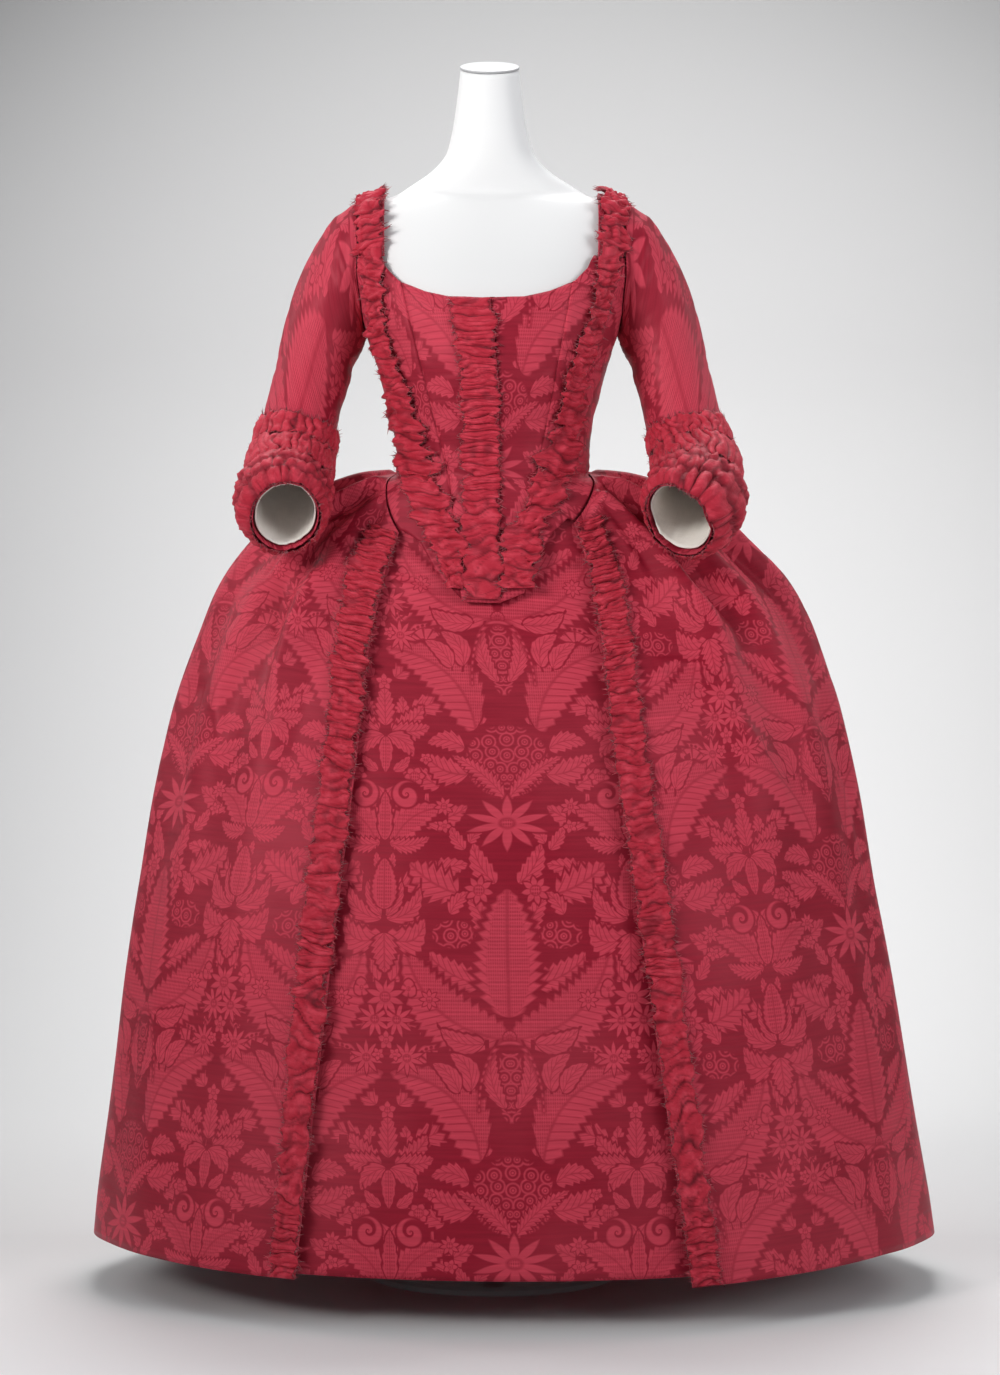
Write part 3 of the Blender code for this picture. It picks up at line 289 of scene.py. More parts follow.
def noise(x, y, seed=0, period=None):
    """Smooth noise from -1 to 1, repeated in x after a whole number of steps if asked."""
    x, y = np.broadcast_arrays(np.asarray(x, float), np.asarray(y, float))
    i, j = np.floor(x), np.floor(y)
    f, g = ease(x - i), ease(y - j)
    following = i + 1
    if period:
        i, following = np.mod(i, period), np.mod(following, period)
    low = mix(lattice_value(i, j, seed), lattice_value(following, j, seed), f)
    high = mix(lattice_value(i, j + 1, seed), lattice_value(following, j + 1, seed), f)
    return 2 * mix(low, high, g) - 1


def round_noise(turn, count, y, seed):
    """Noise with a whole number of steps in one turn, so that it closes on itself."""
    return noise(turn * count / (2 * math.pi), y, seed, count)


def crumple(x, y, seed):
    """Creased noise from -1 to 1: flat facets that meet in sharp ridges."""
    return 1 - 2 * np.abs(noise(x + 0.35 * y, y, seed)) ** 0.7


# The gown's base surface

def ring_points(table, angle, place):
    """Points on a table's surface, at angles in radians and places down its rings."""
    angle, place = np.broadcast_arrays(np.asarray(angle, float), np.asarray(place, float))
    value = {name: glide(table[name], place) for name in table if name != "name"}
    c, s = np.cos(angle), np.sin(angle)
    power = 2 / value["squareness"]
    end_y = np.where(s < 0, value["front_y"], value["back_y"])
    end_z = np.where(s < 0, value["front_z"], value["back_z"])
    x = value["centre_x"] + value["half_width"] * np.sign(c) * np.abs(c) ** power
    y = mix(value["centre_y"], end_y, np.abs(s) ** power)
    return np.stack((x, y, mix(value["side_z"], end_z, s * s)), axis=-1)


def unit(vectors):
    return vectors / np.maximum(np.linalg.norm(vectors, axis=-1, keepdims=True), 1e-12)


def outward(surface, a, b, step=0.01):
    """Unit normals of a surface, on the side that on_base calls out."""
    along_a = surface(a + step, b) - surface(a - step, b)
    along_b = surface(a, b + step) - surface(a, b - step)
    return unit(np.cross(along_b, along_a))


def base(angle, place):
    return ring_points(BASE, angle, np.clip(place, 0.0, HEM))


def base_normal(angle, place):
    return outward(base, angle, np.clip(place, 0.01, HEM - 0.01))


def on_base(angle, place, lift=0.0):
    """Points of the gown's base surface, moved out."""
    lift = np.asarray(lift, float)
    return base(angle, place) + base_normal(angle, place) * lift[..., None]


def bisect(low, high, is_past, count=30):
    """Where is_past turns true, for arrays of starts and ends."""
    low, high = np.array(low, float), np.array(high, float)
    for _ in range(count):
        middle = (low + high) / 2
        past = is_past(middle)
        high = np.where(past, middle, high)
        low = np.where(past, low, middle)
    return (low + high) / 2


def place_of_z(z):
    """Places of level rings above the waist."""
    z = np.asarray(z, float)
    return bisect(np.zeros_like(z), np.full_like(z, WAIST),
                  lambda place: glide(BASE["side_z"], place) <= z)


def front_angle(x, place):
    """Angles on the front of the rings where the surface has the given x."""
    across = np.clip((x - glide(BASE["centre_x"], place)) / glide(BASE["half_width"], place),
                     -1.0, 1.0)
    c = np.sign(across) * np.abs(across) ** (glide(BASE["squareness"], place) / 2)
    return -np.arccos(c)


def front_place(x, z):
    """Places on the front surface with the given x and z."""
    x, z = np.broadcast_arrays(np.asarray(x, float), np.asarray(z, float))
    return bisect(np.zeros_like(z), np.full_like(z, HEM),
                  lambda place: base(front_angle(x, place), place)[..., 2] <= z)


def side_turn(side, degrees):
    """Degrees from one side, minus towards the front, as a ring angle in radians."""
    return np.radians(degrees) if side == "right" else math.pi - np.radians(degrees)


def side_angle(side, y, z):
    """Angles on level rings above the waist where the surface has the given y."""
    place = place_of_z(z)
    centre = glide(BASE["centre_y"], place)
    end = np.where(y < centre, glide(BASE["front_y"], place), glide(BASE["back_y"], place))
    s = np.minimum(1.0, np.abs((y - centre) / (end - centre)))
    angle = np.sign(y - centre) * np.arcsin(s ** (glide(BASE["squareness"], place) / 2))
    return angle if side == "right" else math.pi - angle


def line_angle(table, name, place, shift=0.0):
    """Angles at places of a line that a table gives as x for each z, on the front."""
    angle = np.full(np.shape(place), -math.pi / 2)
    for _ in range(4):
        z = base(angle, place)[..., 2]
        angle = front_angle(BODICE_MIDDLE + lookup(table, "z", z, name) + shift, place)
    return angle


def edge_degrees(side, place, shift=0.0):
    """The skirt opening's edge, in degrees from the side, moved out by a shift."""
    sign = SIGN[side]
    place = np.asarray(place, float)
    angle = np.full(place.shape, math.radians(-90 + sign * 25))
    for _ in range(4):
        z = base(angle, place)[..., 2]
        angle = front_angle(lookup(EDGE, "z", z, side + "_x") + sign * shift, place)
    degrees = np.degrees(angle)
    return degrees if side == "right" else -180 - degrees


def waist_seam(side, degrees):
    """Places of the seam between bodice and skirt."""
    s = np.sin(np.radians(degrees))
    front = WAIST_SEAM_FRONT[side] * np.abs(s) ** 2.2
    return WAIST + WAIST_SEAM_TOP + np.where(s < 0, front, WAIST_SEAM_BACK * s ** 3)


def corner_degrees(side):
    """Where the skirt's front edge meets the bodice, in degrees from the side."""
    degrees = -CORNER_ANGLE
    for _ in range(6):
        degrees = float(edge_degrees(side, waist_seam(side, degrees)))
    return degrees


CORNER = {side: corner_degrees(side) for side in SIDES}


def arc_lengths(points, axis):
    """Running length along one axis of a grid of points, from its first."""
    step = np.linalg.norm(np.diff(points, axis=axis), axis=-1)
    start = np.zeros_like(np.take(step, [0], axis=axis))
    return np.concatenate((start, np.cumsum(step, axis=axis)), axis=axis)


# Mesh helpers

def quads(index):
    """The corners of each face of a grid of numbers."""
    corners = np.stack((index[:-1, :-1], index[1:, :-1], index[1:, 1:], index[:-1, 1:]), axis=-1)
    return corners.reshape(-1, 4)


def grid_mesh(name, points, closed=False, uv=None):
    """A grid of points as a mesh; uv is its cloth map, one column wider on a closed grid."""
    rows, columns = points.shape[:2]
    index = np.arange(rows * columns).reshape(rows, columns)
    if closed:
        index = np.concatenate((index, index[:, :1]), axis=1)
    faces = quads(index)
    mesh = bpy.data.meshes.new(name)
    mesh.vertices.add(rows * columns)
    mesh.vertices.foreach_set("co", points.reshape(-1).astype(np.float32))
    mesh.loops.add(faces.size)
    mesh.loops.foreach_set("vertex_index", faces.reshape(-1).astype(np.int32))
    mesh.polygons.add(len(faces))
    mesh.polygons.foreach_set("loop_start", np.arange(0, faces.size, 4, dtype=np.int32))
    mesh.update(calc_edges=True)
    if uv is not None:
        corners = quads(np.arange(uv.shape[0] * uv.shape[1]).reshape(uv.shape[:2])).reshape(-1)
        layer = mesh.uv_layers.new(name="cloth")
        layer.data.foreach_set("uv", uv.reshape(-1, 2)[corners].reshape(-1).astype(np.float32))
    mesh.shade_smooth()
    return mesh


def add_piece(name, mesh, slot):
    mesh.materials.append(finish(slot))
    piece = bpy.data.objects.new(name, mesh)
    bpy.context.scene.collection.objects.link(piece)
    return piece


# Each sheet by its name, or by the start of two names: its solid, slot and hold, what carries it,
# and its cut (width, length, area) in metres, before it was gathered or shaped. The second cut is
# the right one's where it differs.
SHEETS = {
    "silk_petticoat": ("petticoat", "silk_damask", "gathered", "dress_form", (2.72, 1.10, 2.20)),
    "silk_gown_skirt_": ("gown_skirt_", "silk_damask", "gathered", "petticoat bodice_side_",
                         (1.16, 1.09, 0.98), (1.22, 1.12, 1.03)),
    "silk_bodice_front_": ("bodice_front_", "silk_damask", "stretched", "dress_form",
                           (0.106, 0.394, 0.028), (0.085, 0.392, 0.0215)),
    "silk_bodice_side_": ("bodice_side_", "silk_damask", "stretched", "dress_form",
                          (0.304, 0.453, 0.055), (0.303, 0.427, 0.055)),
    "silk_bodice_back_": ("bodice_back_", "silk_damask", "stretched", "dress_form",
                          (0.144, 0.318, 0.0435)),
    "silk_strap_": ("shoulder_strap_", "silk_damask", "stretched", "dress_form",
                    (0.045, 0.220, 0.0080)),
    "silk_sleeve_": ("sleeve_", "silk_damask", "hung", "bodice_side_ shoulder_strap_",
                     (0.288, 0.510, 0.119), (0.288, 0.548, 0.125)),
    "linen_lining_": ("sleeve_lining_", "linen_lining", "hung", "sleeve_",
                      (0.280, 0.190, 0.043), (0.280, 0.216, 0.048)),
    "silk_cuff_upper_": ("cuff_upper_", "silk_ruche", "gathered", "sleeve_",
                         (0.330, 0.057, None), (0.330, 0.059, None)),
    "silk_cuff_middle_": ("cuff_middle_", "silk_ruche", "gathered", "sleeve_",
                          (0.330, 0.078, None), (0.330, 0.082, None)),
    "silk_cuff_lower_": ("cuff_lower_", "silk_ruche", "gathered", "sleeve_",
                         (0.330, 0.123, None), (0.330, 0.150, None)),
    "silk_centre_front_ruche": ("centre_front_ruche", "silk_ruche", "gathered",
                                "bodice_front_left bodice_front_right", (0.042, 0.500, None)),
    "silk_robing_": ("robing_", "silk_ruche", "gathered", "bodice_front_ shoulder_strap_",
                     (0.042, 0.660, None)),
    "silk_skirt_ruche_": ("skirt_ruche_", "silk_ruche", "gathered", "gown_skirt_",
                          (0.042, 1.250, None)),
}
FINISHES = {}


def finish(slot):
    """A slot's material, made when it is first asked for."""
    if slot not in FINISHES:
        FINISHES[slot] = FINISH_MAKERS[slot]()
    return FINISHES[slot]


def place_piece(piece, node):
    """Hides the solid that the piece stands for and attaches the piece to the root."""
    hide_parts(node)
    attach(piece, "root")


def split_side(name):
    """A name without its side, and the side or nothing."""
    side = name.rpartition("_")[2] if name.endswith(SIDES) else ""
    return name.removesuffix(side), side


def add_cloth(name, points, uv, mirrored=False, closed=False, crease=None):
    """A sheet in place of a solid, thickened outwards from its grid.

    A mirrored grid is turned over. The crease mask is there for the finish to paint shade into the
    creases.
    """
    kind, side = split_side(name)
    node, slot, held, carriers, *cuts = SHEETS[kind]
    if mirrored:
        points, uv = points[:, ::-1], uv[:, ::-1]
        crease = None if crease is None else crease[:, ::-1]
    mesh = grid_mesh(name.split("_", 1)[1], points, closed, uv)
    if crease is not None:
        mask = mesh.attributes.new("crease", "FLOAT", "POINT")
        mask.data.foreach_set("value", crease.reshape(-1).astype(np.float32))
    piece = add_piece(name, mesh, slot)
    wall = piece.modifiers.new("Wall", "SOLIDIFY")
    wall.thickness = RUCHE_WALL if slot == "silk_ruche" else WALL
    wall.offset = 1.0
    wall.use_quality_normals = True
    if slot == "silk_damask":
        lay_damask(mesh)
    width, length, area = cuts[-1 if side == "right" else 0]
    rests_on = [carrier + side if carrier.endswith("_") else carrier for carrier in carriers.split()]
    place_piece(piece, node + side)


def stacked(*columns):
    return np.stack(np.broadcast_arrays(*columns), axis=-1)


# The skirt's folds: soft ridges (depth over 0) and troughs on each half

FOLDS = rows_of(("side", "start_place", "start_degrees", "end_place", "end_degrees",
                 "depth", "width", "fade"), (
    ("right", 13.2, -45.0, 18.2, -43.0, 0.0150, 0.013, 0.30),
    ("right", 13.3, -40.5, 17.6, -38.0, -0.0110, 0.009, 0.35),
    ("right", 13.1, -34.0, 15.0, -30.0, -0.0090, 0.008, 0.35),
    ("right", 13.1, -28.5, 15.6, -24.0, 0.0070, 0.009, 0.40),
    ("right", 13.4, -50.5, 16.2, -52.0, 0.0060, 0.008, 0.45),
    ("right", 15.0, -18.5, 18.9, -17.5, -0.0110, 0.009, 0.35),
    ("right", 14.6, -10.0, 19.2, -6.0, 0.0110, 0.012, 0.35),
    ("right", 17.4, -60.0, 17.9, -44.0, 0.0045, 0.008, 0.30),
    ("right", 17.7, -59.0, 18.2, -46.0, -0.0040, 0.007, 0.30),
    ("right", 12.7, 18.0, 18.4, 12.0, -0.0105, 0.018, 0.35),
    ("right", 12.8, 38.0, 20.5, 34.0, -0.0110, 0.022, 0.35),
    ("right", 12.9, 56.0, 21.5, 53.0, -0.0120, 0.024, 0.35),
    ("right", 13.0, 72.0, 22.5, 70.0, -0.0120, 0.026, 0.35),
    ("right", 18.2, -52.0, 20.6, -34.0, 0.0055, 0.016, 0.50),
    ("right", 19.0, -20.0, 21.6, -12.0, -0.0045, 0.018, 0.50),
    ("left", 13.1, -38.0, 15.0, -30.5, -0.0130, 0.007, 0.30),
    ("left", 13.0, -32.0, 15.4, -24.0, 0.0100, 0.010, 0.40),
    ("left", 13.2, -44.0, 15.6, -37.0, 0.0070, 0.011, 0.40),
    ("left", 13.3, -49.0, 16.2, -47.5, -0.0060, 0.008, 0.40),
    ("left", 15.7, -43.0, 18.9, -45.5, 0.0110, 0.012, 0.35),
    ("left", 16.3, -38.5, 17.7, -41.5, -0.0090, 0.008, 0.45),
    ("left", 15.0, -27.5, 16.7, -29.5, -0.0080, 0.009, 0.40),
    ("left", 12.7, 14.0, 18.4, 10.0, -0.0105, 0.018, 0.35),
    ("left", 12.8, 36.0, 20.5, 33.0, -0.0110, 0.022, 0.35),
    ("left", 12.9, 55.0, 21.5, 52.0, -0.0120, 0.024, 0.35),
    ("left", 13.0, 72.0, 22.5, 71.0, -0.0120, 0.026, 0.35),
    ("left", 17.6, -24.0, 19.8, -38.0, 0.0055, 0.016, 0.50),
    ("left", 18.6, -20.0, 20.8, -30.0, -0.0045, 0.018, 0.50),
))
STEEP_SIDE, GENTLE_SIDE = 1.8, 0.80


def fold_lift(side, degrees, place, per_degree, per_place):
    """How far the listed folds move the cloth, with a crisp crest and a soft foot."""
    lift = np.zeros_like(place)
    for fold in FOLDS:
        if fold["side"] != side:
            continue
        across = (degrees - fold["start_degrees"]) * per_degree
        down = (place - fold["start_place"]) * per_place
        run_across = (fold["end_degrees"] - fold["start_degrees"]) * per_degree
        run_down = (fold["end_place"] - fold["start_place"]) * per_place
        length = np.hypot(run_across, run_down)
        along = (across * run_across + down * run_down) / length ** 2
        away = (across * run_down - down * run_across) / (length * fold["width"])
        steep = away > 0 if fold["depth"] > 0 else away < 0
        away = np.abs(away) * np.where(steep, STEEP_SIDE, GENTLE_SIDE)
        body = np.exp(-away ** 1.5)
        ends = ease(along / 0.12 + 0.5) * (1 - ease((along - 1 + fold["fade"]) / fold["fade"]))
        lift += fold["depth"] * body * ends
    return lift


def pleat_lift(degrees, place, seam):
    """How far the pleats stand out, from the seam down to the hem."""
    down = (place - seam) / (HEM - seam)
    lift = np.zeros_like(down)
    for angle, width, top, hip, hem in PLEATS:
        depth = np.where(down < 0.25, mix(top, hip, ease(down / 0.25)),
                         mix(hip, hem, ease((down - 0.25) / 0.75)))
        away = np.abs(degrees - angle) / (width + 1.5 * down)
        lift += depth * ease(1 - away)
    return lift


def gown_points(side, degrees, place, lift=0.0):
    """Points of the gown skirt's inner face, with its pleats and folds."""
    degrees, place = np.broadcast_arrays(np.asarray(degrees, float), np.asarray(place, float))
    seam = waist_seam(side, degrees)
    near_edge = degrees - edge_degrees(side, place)
    drop = HEM_DROP[side] * np.maximum(0.0, 1 - near_edge / HEM_DROP_ANGLE)
    drop = drop * ease((place - WAIST) / (HEM - WAIST)) ** 3
    out = pleat_lift(degrees, place, seam) * ease((near_edge - 6) / 8)
    turn = side_turn(side, degrees)
    size = np.linalg.norm(base(turn + 0.01, place) - base(turn - 0.01, place), axis=-1)
    per_degree = size / math.degrees(0.02)
    per_place = np.linalg.norm(base(turn, place + 0.05) - base(turn, place - 0.05), axis=-1) / 0.1
    free = ease((near_edge - 1) / 6)
    folds = fold_lift(side, degrees, place, per_degree, per_place)
    folds += 0.0016 * noise(degrees / 9 + 7, place * 0.9, 5) * ease((place - seam) / 2)
    out = out + np.maximum(folds, -0.004 - 0.6 * out) * free
    out *= ease((place - seam - SKIRT_TOP_GAP) / PLEAT_START)
    point = on_base(turn, place, out + lift)
    return point - np.stack((np.zeros_like(drop), np.zeros_like(drop), drop), axis=-1)


def cloth_map(points, side, middle_column, v_shift, u_shift=0.0):
    """A UV map in metres: across from one column, and up from the last row."""
    across = arc_lengths(points, 1)
    across = across - across[:, middle_column:middle_column + 1]
    down = arc_lengths(points, 0)
    return stacked(SIGN[side] * across + u_shift, down[-1:] - down + v_shift)


GOWN_MAP_SHIFTS = {"left": (-0.032, -0.004), "right": (0.125, -0.011)}    # up, then across


def make_gown_half(side):
    """One half of the gown's skirt, from its front edge round to the middle of the back."""
    rows, columns = SKIRT_GRID
    back = 90.0 - math.degrees(SEAM_GAP)
    head = np.linspace(CORNER[side], back, columns)
    top = waist_seam(side, head) + SKIRT_TOP_GAP
    edge = edge_degrees(side, top)
    share = (head - edge) / (back - edge)
    steps = np.linspace(0.0, 1.0, rows)[:, None] ** CROWDING
    place = mix(top[None, :], float(HEM), steps)
    degrees = mix(edge_degrees(side, place), back, share[None, :])
    points = gown_points(side, degrees, place)
    uv = cloth_map(points, side, 0, *GOWN_MAP_SHIFTS[side])
    add_cloth("silk_gown_skirt_" + side, points, uv, mirrored=side == "left")


def petticoat_lift(place):
    down = place - WAIST
    return (-UNDER_WAIST - HIP_SET_BACK * ease(down / WAISTBAND)
            - HEM_SET_BACK * ease(down / (HEM - WAIST)))


# Creases of the petticoat under the tab, placed on the front: x and z of both ends
CREASES = rows_of(("start_x", "start_z", "end_x", "end_z", "depth", "width"), (
    (-0.150, 0.905, -0.075, 0.850, 0.0030, 0.006),
    (-0.158, 0.886, -0.085, 0.845, -0.0028, 0.006),
    (-0.152, 0.862, -0.078, 0.838, 0.0024, 0.007),
    (-0.146, 0.836, -0.060, 0.822, -0.0018, 0.008),
    (0.086, 0.905, 0.024, 0.852, 0.0030, 0.006),
    (0.094, 0.888, 0.026, 0.842, -0.0028, 0.006),
    (0.092, 0.864, 0.022, 0.834, 0.0024, 0.007),
    (0.096, 0.838, 0.010, 0.820, -0.0018, 0.008),
    (-0.170, 0.640, 0.060, 0.655, 0.0012, 0.010),
    (-0.190, 0.470, 0.120, 0.455, -0.0010, 0.012),
))


def crease_lift(points):
    """How far the listed creases move the petticoat's front."""
    lift = np.zeros(points.shape[:-1])
    x, z = points[..., 0], points[..., 2]
    for crease in CREASES:
        start = np.array((crease["start_x"], crease["start_z"]))
        run = np.array((crease["end_x"], crease["end_z"])) - start
        length = float(np.hypot(*run))
        along = ((x - start[0]) * run[0] + (z - start[1]) * run[1]) / length ** 2
        away = np.abs((x - start[0]) * run[1] - (z - start[1]) * run[0]) / length
        body = np.exp(-(away / crease["width"]) ** 1.6) * ease(along / 0.3) * ease((1 - along) / 0.25)
        lift += crease["depth"] * body
    return np.where(points[..., 1] < 0, lift, 0.0)


FRONT_BUNCHING = 0.72


def make_silk_petticoat():
    """The petticoat, finest at its front, where it shows in the gown's opening."""
    rows, columns = PETTICOAT_GRID
    from_front = np.linspace(-math.pi, math.pi, columns + 1)
    bunch = 1.5 * math.pi + from_front - FRONT_BUNCHING * np.sin(from_front)
    steps = np.concatenate(([0.0], WAISTBAND + np.linspace(0, 1, rows) ** CROWDING
                            * (HEM - WAIST - WAISTBAND)))
    place = (WAIST + steps)[:, None]
    lift = petticoat_lift(place) * np.ones((1, columns + 1))
    angle = np.broadcast_to(bunch[None, :], lift.shape)
    flat = on_base(angle, place, lift)
    waves = (0.0014 * round_noise(angle, 28, place * 0.8, 11)
             + 0.0007 * round_noise(angle, 70, place * 1.7, 12))
    lift = lift + (crease_lift(flat) + waves) * ease((place - WAIST - 0.5) / 1.0)
    points = on_base(angle, place, lift)
    uv = cloth_map(points, "right", columns // 2, -0.020)
    add_cloth("silk_petticoat", points[:, :-1], uv, closed=True)


# Bodice and shoulder straps

def above_bodice(points):
    """Whether points of the base surface are past the neckline, the strap or the armhole."""
    x = points[..., 0] - BODICE_MIDDLE
    y, z = points[..., 1], points[..., 2]
    hole = ((y - ARMHOLE_Y) / ARMHOLE_HALF_DEPTH) ** 2 + ((z - ARMHOLE_Z) / ARMHOLE_HALF_HEIGHT) ** 2
    in_hole = (hole < 1) & (np.abs(x) > 0.1)
    neck_z = np.minimum(STRAP_JOIN_Z, lookup(NECK, "offset", np.abs(x - NECKLINE_MIDDLE), "z"))
    return in_hole | np.where(y > ARMHOLE_Y, z > BACK_NECK_Z, z > neck_z)


def below_bodice(angle, place):
    """Whether points are past the tab in front, or past the waist seam elsewhere."""
    degrees = np.degrees(angle)
    right = np.cos(angle) > 0
    from_side = np.where(right, degrees, np.where(degrees > 0, 180 - degrees, -180 - degrees))
    corner = np.where(right, CORNER["right"], CORNER["left"])
    points = base(angle, place)
    past_tab = points[..., 2] < lookup(TAB, "x", points[..., 0] - BODICE_MIDDLE, "z")
    seam = np.where(right, waist_seam("right", from_side), waist_seam("left", from_side))
    return np.where(from_side < corner, past_tab, place > seam)


def make_panel(name, start, end, columns):
    """A bodice panel between two seam lines, each giving angles for places."""
    shares = np.linspace(0.0, 1.0, columns)

    def angle_at(place):
        return mix(start(place), end(place), shares)

    low, waist = np.zeros(columns), np.full(columns, float(WAIST))
    top = bisect(low, waist, lambda place: ~above_bodice(base(angle_at(place), place)))
    bottom = bisect(waist, np.full(columns, float(RING["hip"])),
                    lambda place: below_bodice(angle_at(place), place))
    above = mix(float(WAIST), top, np.linspace(1.0, 0.0, PANEL_ROWS[0])[:, None] ** 1.2)
    below = mix(float(WAIST), bottom, np.linspace(0.0, 1.0, PANEL_ROWS[1])[1:, None] ** 1.5)
    place = np.concatenate((above, below))
    angle = angle_at(place)
    flat = base(angle, place)
    across = arc_lengths(flat, 1)
    from_seam = np.minimum(across, across[:, -1:] - across)
    up = flat[..., 2]
    pucker = 0.5 + 0.5 * noise(up / 0.009, across / 0.03, 21)
    lift = -0.0009 * np.exp(-(from_seam / 0.0022) ** 2)
    lift += 0.0007 * np.exp(-((from_seam - 0.005) / 0.004) ** 2) * pucker
    slack = 0.0011 * noise(across / 0.045 + 3, up / 0.018, 22)
    slack += 0.0005 * noise(across / 0.012, up / 0.006, 23)
    slack += 0.0012 * noise(across / 0.03, up / 0.008, 24) * np.exp(-((up - 0.995) / 0.03) ** 2)
    lift += slack * ease(from_seam / 0.01) + 0.0004
    points = on_base(angle, place, lift)
    add_cloth("silk_" + name, points, stacked((angle + math.pi / 2) * 0.150, up * 1.02))


def make_silk_bodice():
    """Six panels, each between two seams."""
    half_gap = SEAM_GAP / 2

    def opening(shift):
        return lambda place: line_angle(CENTRE, "opening_x", place, shift)

    def front(side, shift):
        return lambda place: line_angle(FRONT, side + "_x", place, shift)

    def upright(angle):
        return lambda place: angle + 0 * place

    fore, aft = (math.radians(SIDE_SEAM_ANGLE + turn) for turn in (-SEAM_TURN, SEAM_TURN))
    middle = math.radians(90 - SEAM_TURN)
    left_end = front("left", -half_gap)
    for name, start, end, columns in (
            ("front_left", front("left", half_gap), opening(-half_gap), FRONT_COLUMNS),
            ("front_right", opening(half_gap), front("right", -half_gap), FRONT_COLUMNS),
            ("side_right", front("right", half_gap), upright(fore), SIDE_COLUMNS),
            ("side_left", upright(math.pi - fore), lambda place: left_end(place) + 2 * math.pi,
             SIDE_COLUMNS),
            ("back_right", upright(aft), upright(middle), BACK_COLUMNS),
            ("back_left", upright(math.pi - middle), upright(math.pi - aft), BACK_COLUMNS)):
        make_panel("bodice_" + name, start, end, columns)


def strap_place(side, along, across):
    """Angles and places on a shoulder strap; along runs from the front to the back join."""
    turn = math.pi * (along - 0.5)
    y = ARMHOLE_Y + (ARMHOLE_HALF_DEPTH + STRAP_MARGIN) * np.sin(turn)
    z = ARMHOLE_Z + (ARMHOLE_HALF_HEIGHT + STRAP_MARGIN) * np.cos(turn)
    end_z = 2 * SEAM_GAP + np.where(along < 0.5, STRAP_JOIN_Z, BACK_NECK_Z)
    z = np.maximum(z, end_z)
    outer_angle, outer_place = side_angle("right", y, z), place_of_z(z)
    top_z = glide(BASE["side_z"], STRAP_TOP_PLACE)
    inner_z = mix(end_z, top_z, 1 - np.abs(2 * along - 1) ** 1.6)
    inner_place = place_of_z(inner_z)
    half = glide(BASE["half_width"], inner_place)
    c = np.minimum(1.0, STRAP_INNER_X / half) ** (glide(BASE["squareness"], inner_place) / 2)
    inner_angle = np.sign(along - 0.5) * np.arccos(c)
    angle = mix(inner_angle, outer_angle, across)
    return (angle if side == "right" else math.pi - angle), mix(inner_place, outer_place, across)


def strap_lift(along):
    return STRAP_RISE * np.sin(math.pi * np.clip(along, 0.0, 1.0))


def make_silk_strap(side):
    along, across = np.meshgrid(*(np.linspace(0.0, 1.0, count) for count in STRAP_GRID), indexing="ij")
    angle, place = strap_place(side, along, across)
    points = on_base(angle, place, strap_lift(along) + 0.0004 * noise(along * 14, across * 3, 31))
    add_cloth("silk_strap_" + side, points, stacked(across * STRAP_WIDTH, along * STRAP_LENGTH),
              mirrored=side == "left")


# Sleeves, linings and cuffs

SLEEVE_END = len(UPPER_SLEEVE) + 3
LINING_SET_BACK = 0.12


def sleeve_points(side, turn, place):
    """Points of a sleeve: place 0 is the armhole on the bodice, 1 and on are the rings."""
    table = columns_of(SLEEVE_COLUMNS, UPPER_SLEEVE + LOWER_SLEEVE[side])
    turn, place = np.broadcast_arrays(np.asarray(turn, float), np.asarray(place, float))
    y = ARMHOLE_Y - (ARMHOLE_HALF_DEPTH + STRAP_MARGIN) * np.sin(turn)
    z = ARMHOLE_Z + (ARMHOLE_HALF_HEIGHT + STRAP_MARGIN) * np.cos(turn)
    lift = WALL + RUCHE_CLEARANCE + STRAP_RISE * np.maximum(0.0, np.cos(turn))
    armhole = on_base(side_angle(side, y, z), place_of_z(z), lift)
    at = {name: glide(table[name], np.clip(place - 1, 0, len(table["x"]) - 1)) for name in table}
    facing = unit(stacked(at["facing_x"], at["facing_y"], at["facing_z"]))
    out = np.array((1.0, 0.0, 0.0))
    out = unit(out - facing * (facing @ out)[..., None])
    forward = np.cross(facing, out)
    point = stacked(at["x"], at["y"], at["z"])
    point = point + out * (np.cos(turn) * at["half_out"])[..., None]
    point = point + forward * (np.sin(turn) * at["half_front"])[..., None]
    ring = stacked(BODICE_MIDDLE + SIGN[side] * point[..., 0], point[..., 1], point[..., 2])
    share = np.clip(place, 0.0, 1.0)[..., None]
    return armhole * (1 - share) + ring * share


def sleeve_out(side, turn, place, lift):
    """Points moved out from a sleeve's surface."""
    inner = np.clip(place, 0.03, SLEEVE_END - 0.02)
    normal = outward(lambda a, b: sleeve_points(side, a, b), turn, inner)
    return sleeve_points(side, turn, place) - normal * (SIGN[side] * np.asarray(lift, float))[..., None]


def round_turns(count):
    return np.arange(count) * 2 * math.pi / count


def round_grid(grid, start, end, first_turn=0.0):
    """Turns round a sleeve or a torso and places down it, for a grid's rows and columns."""
    rows, columns = grid
    return np.meshgrid(first_turn + round_turns(columns), np.linspace(start, end, rows))


def sleeve_map(points, girth):
    """A round grid's UV map in metres, one column wider than the grid."""
    closed = np.concatenate((points, points[:, :1]), axis=1)
    down = arc_lengths(closed, 0)
    u = np.linspace(0.0, girth, closed.shape[1])[None, :] + 0 * down
    return stacked(u, -down)


def sleeve_rim(side, turn, place):
    """How far short of its end the sleeve stops, round its wavy rim."""
    wave = 0.10 * np.abs(round_noise(turn, 9, 0 * turn, 31 + len(side)))
    wave = wave + 0.05 * np.abs(round_noise(turn, 26, 0 * turn, 33 + len(side)))
    return wave * ease((place - SLEEVE_END + 0.7) / 0.7)


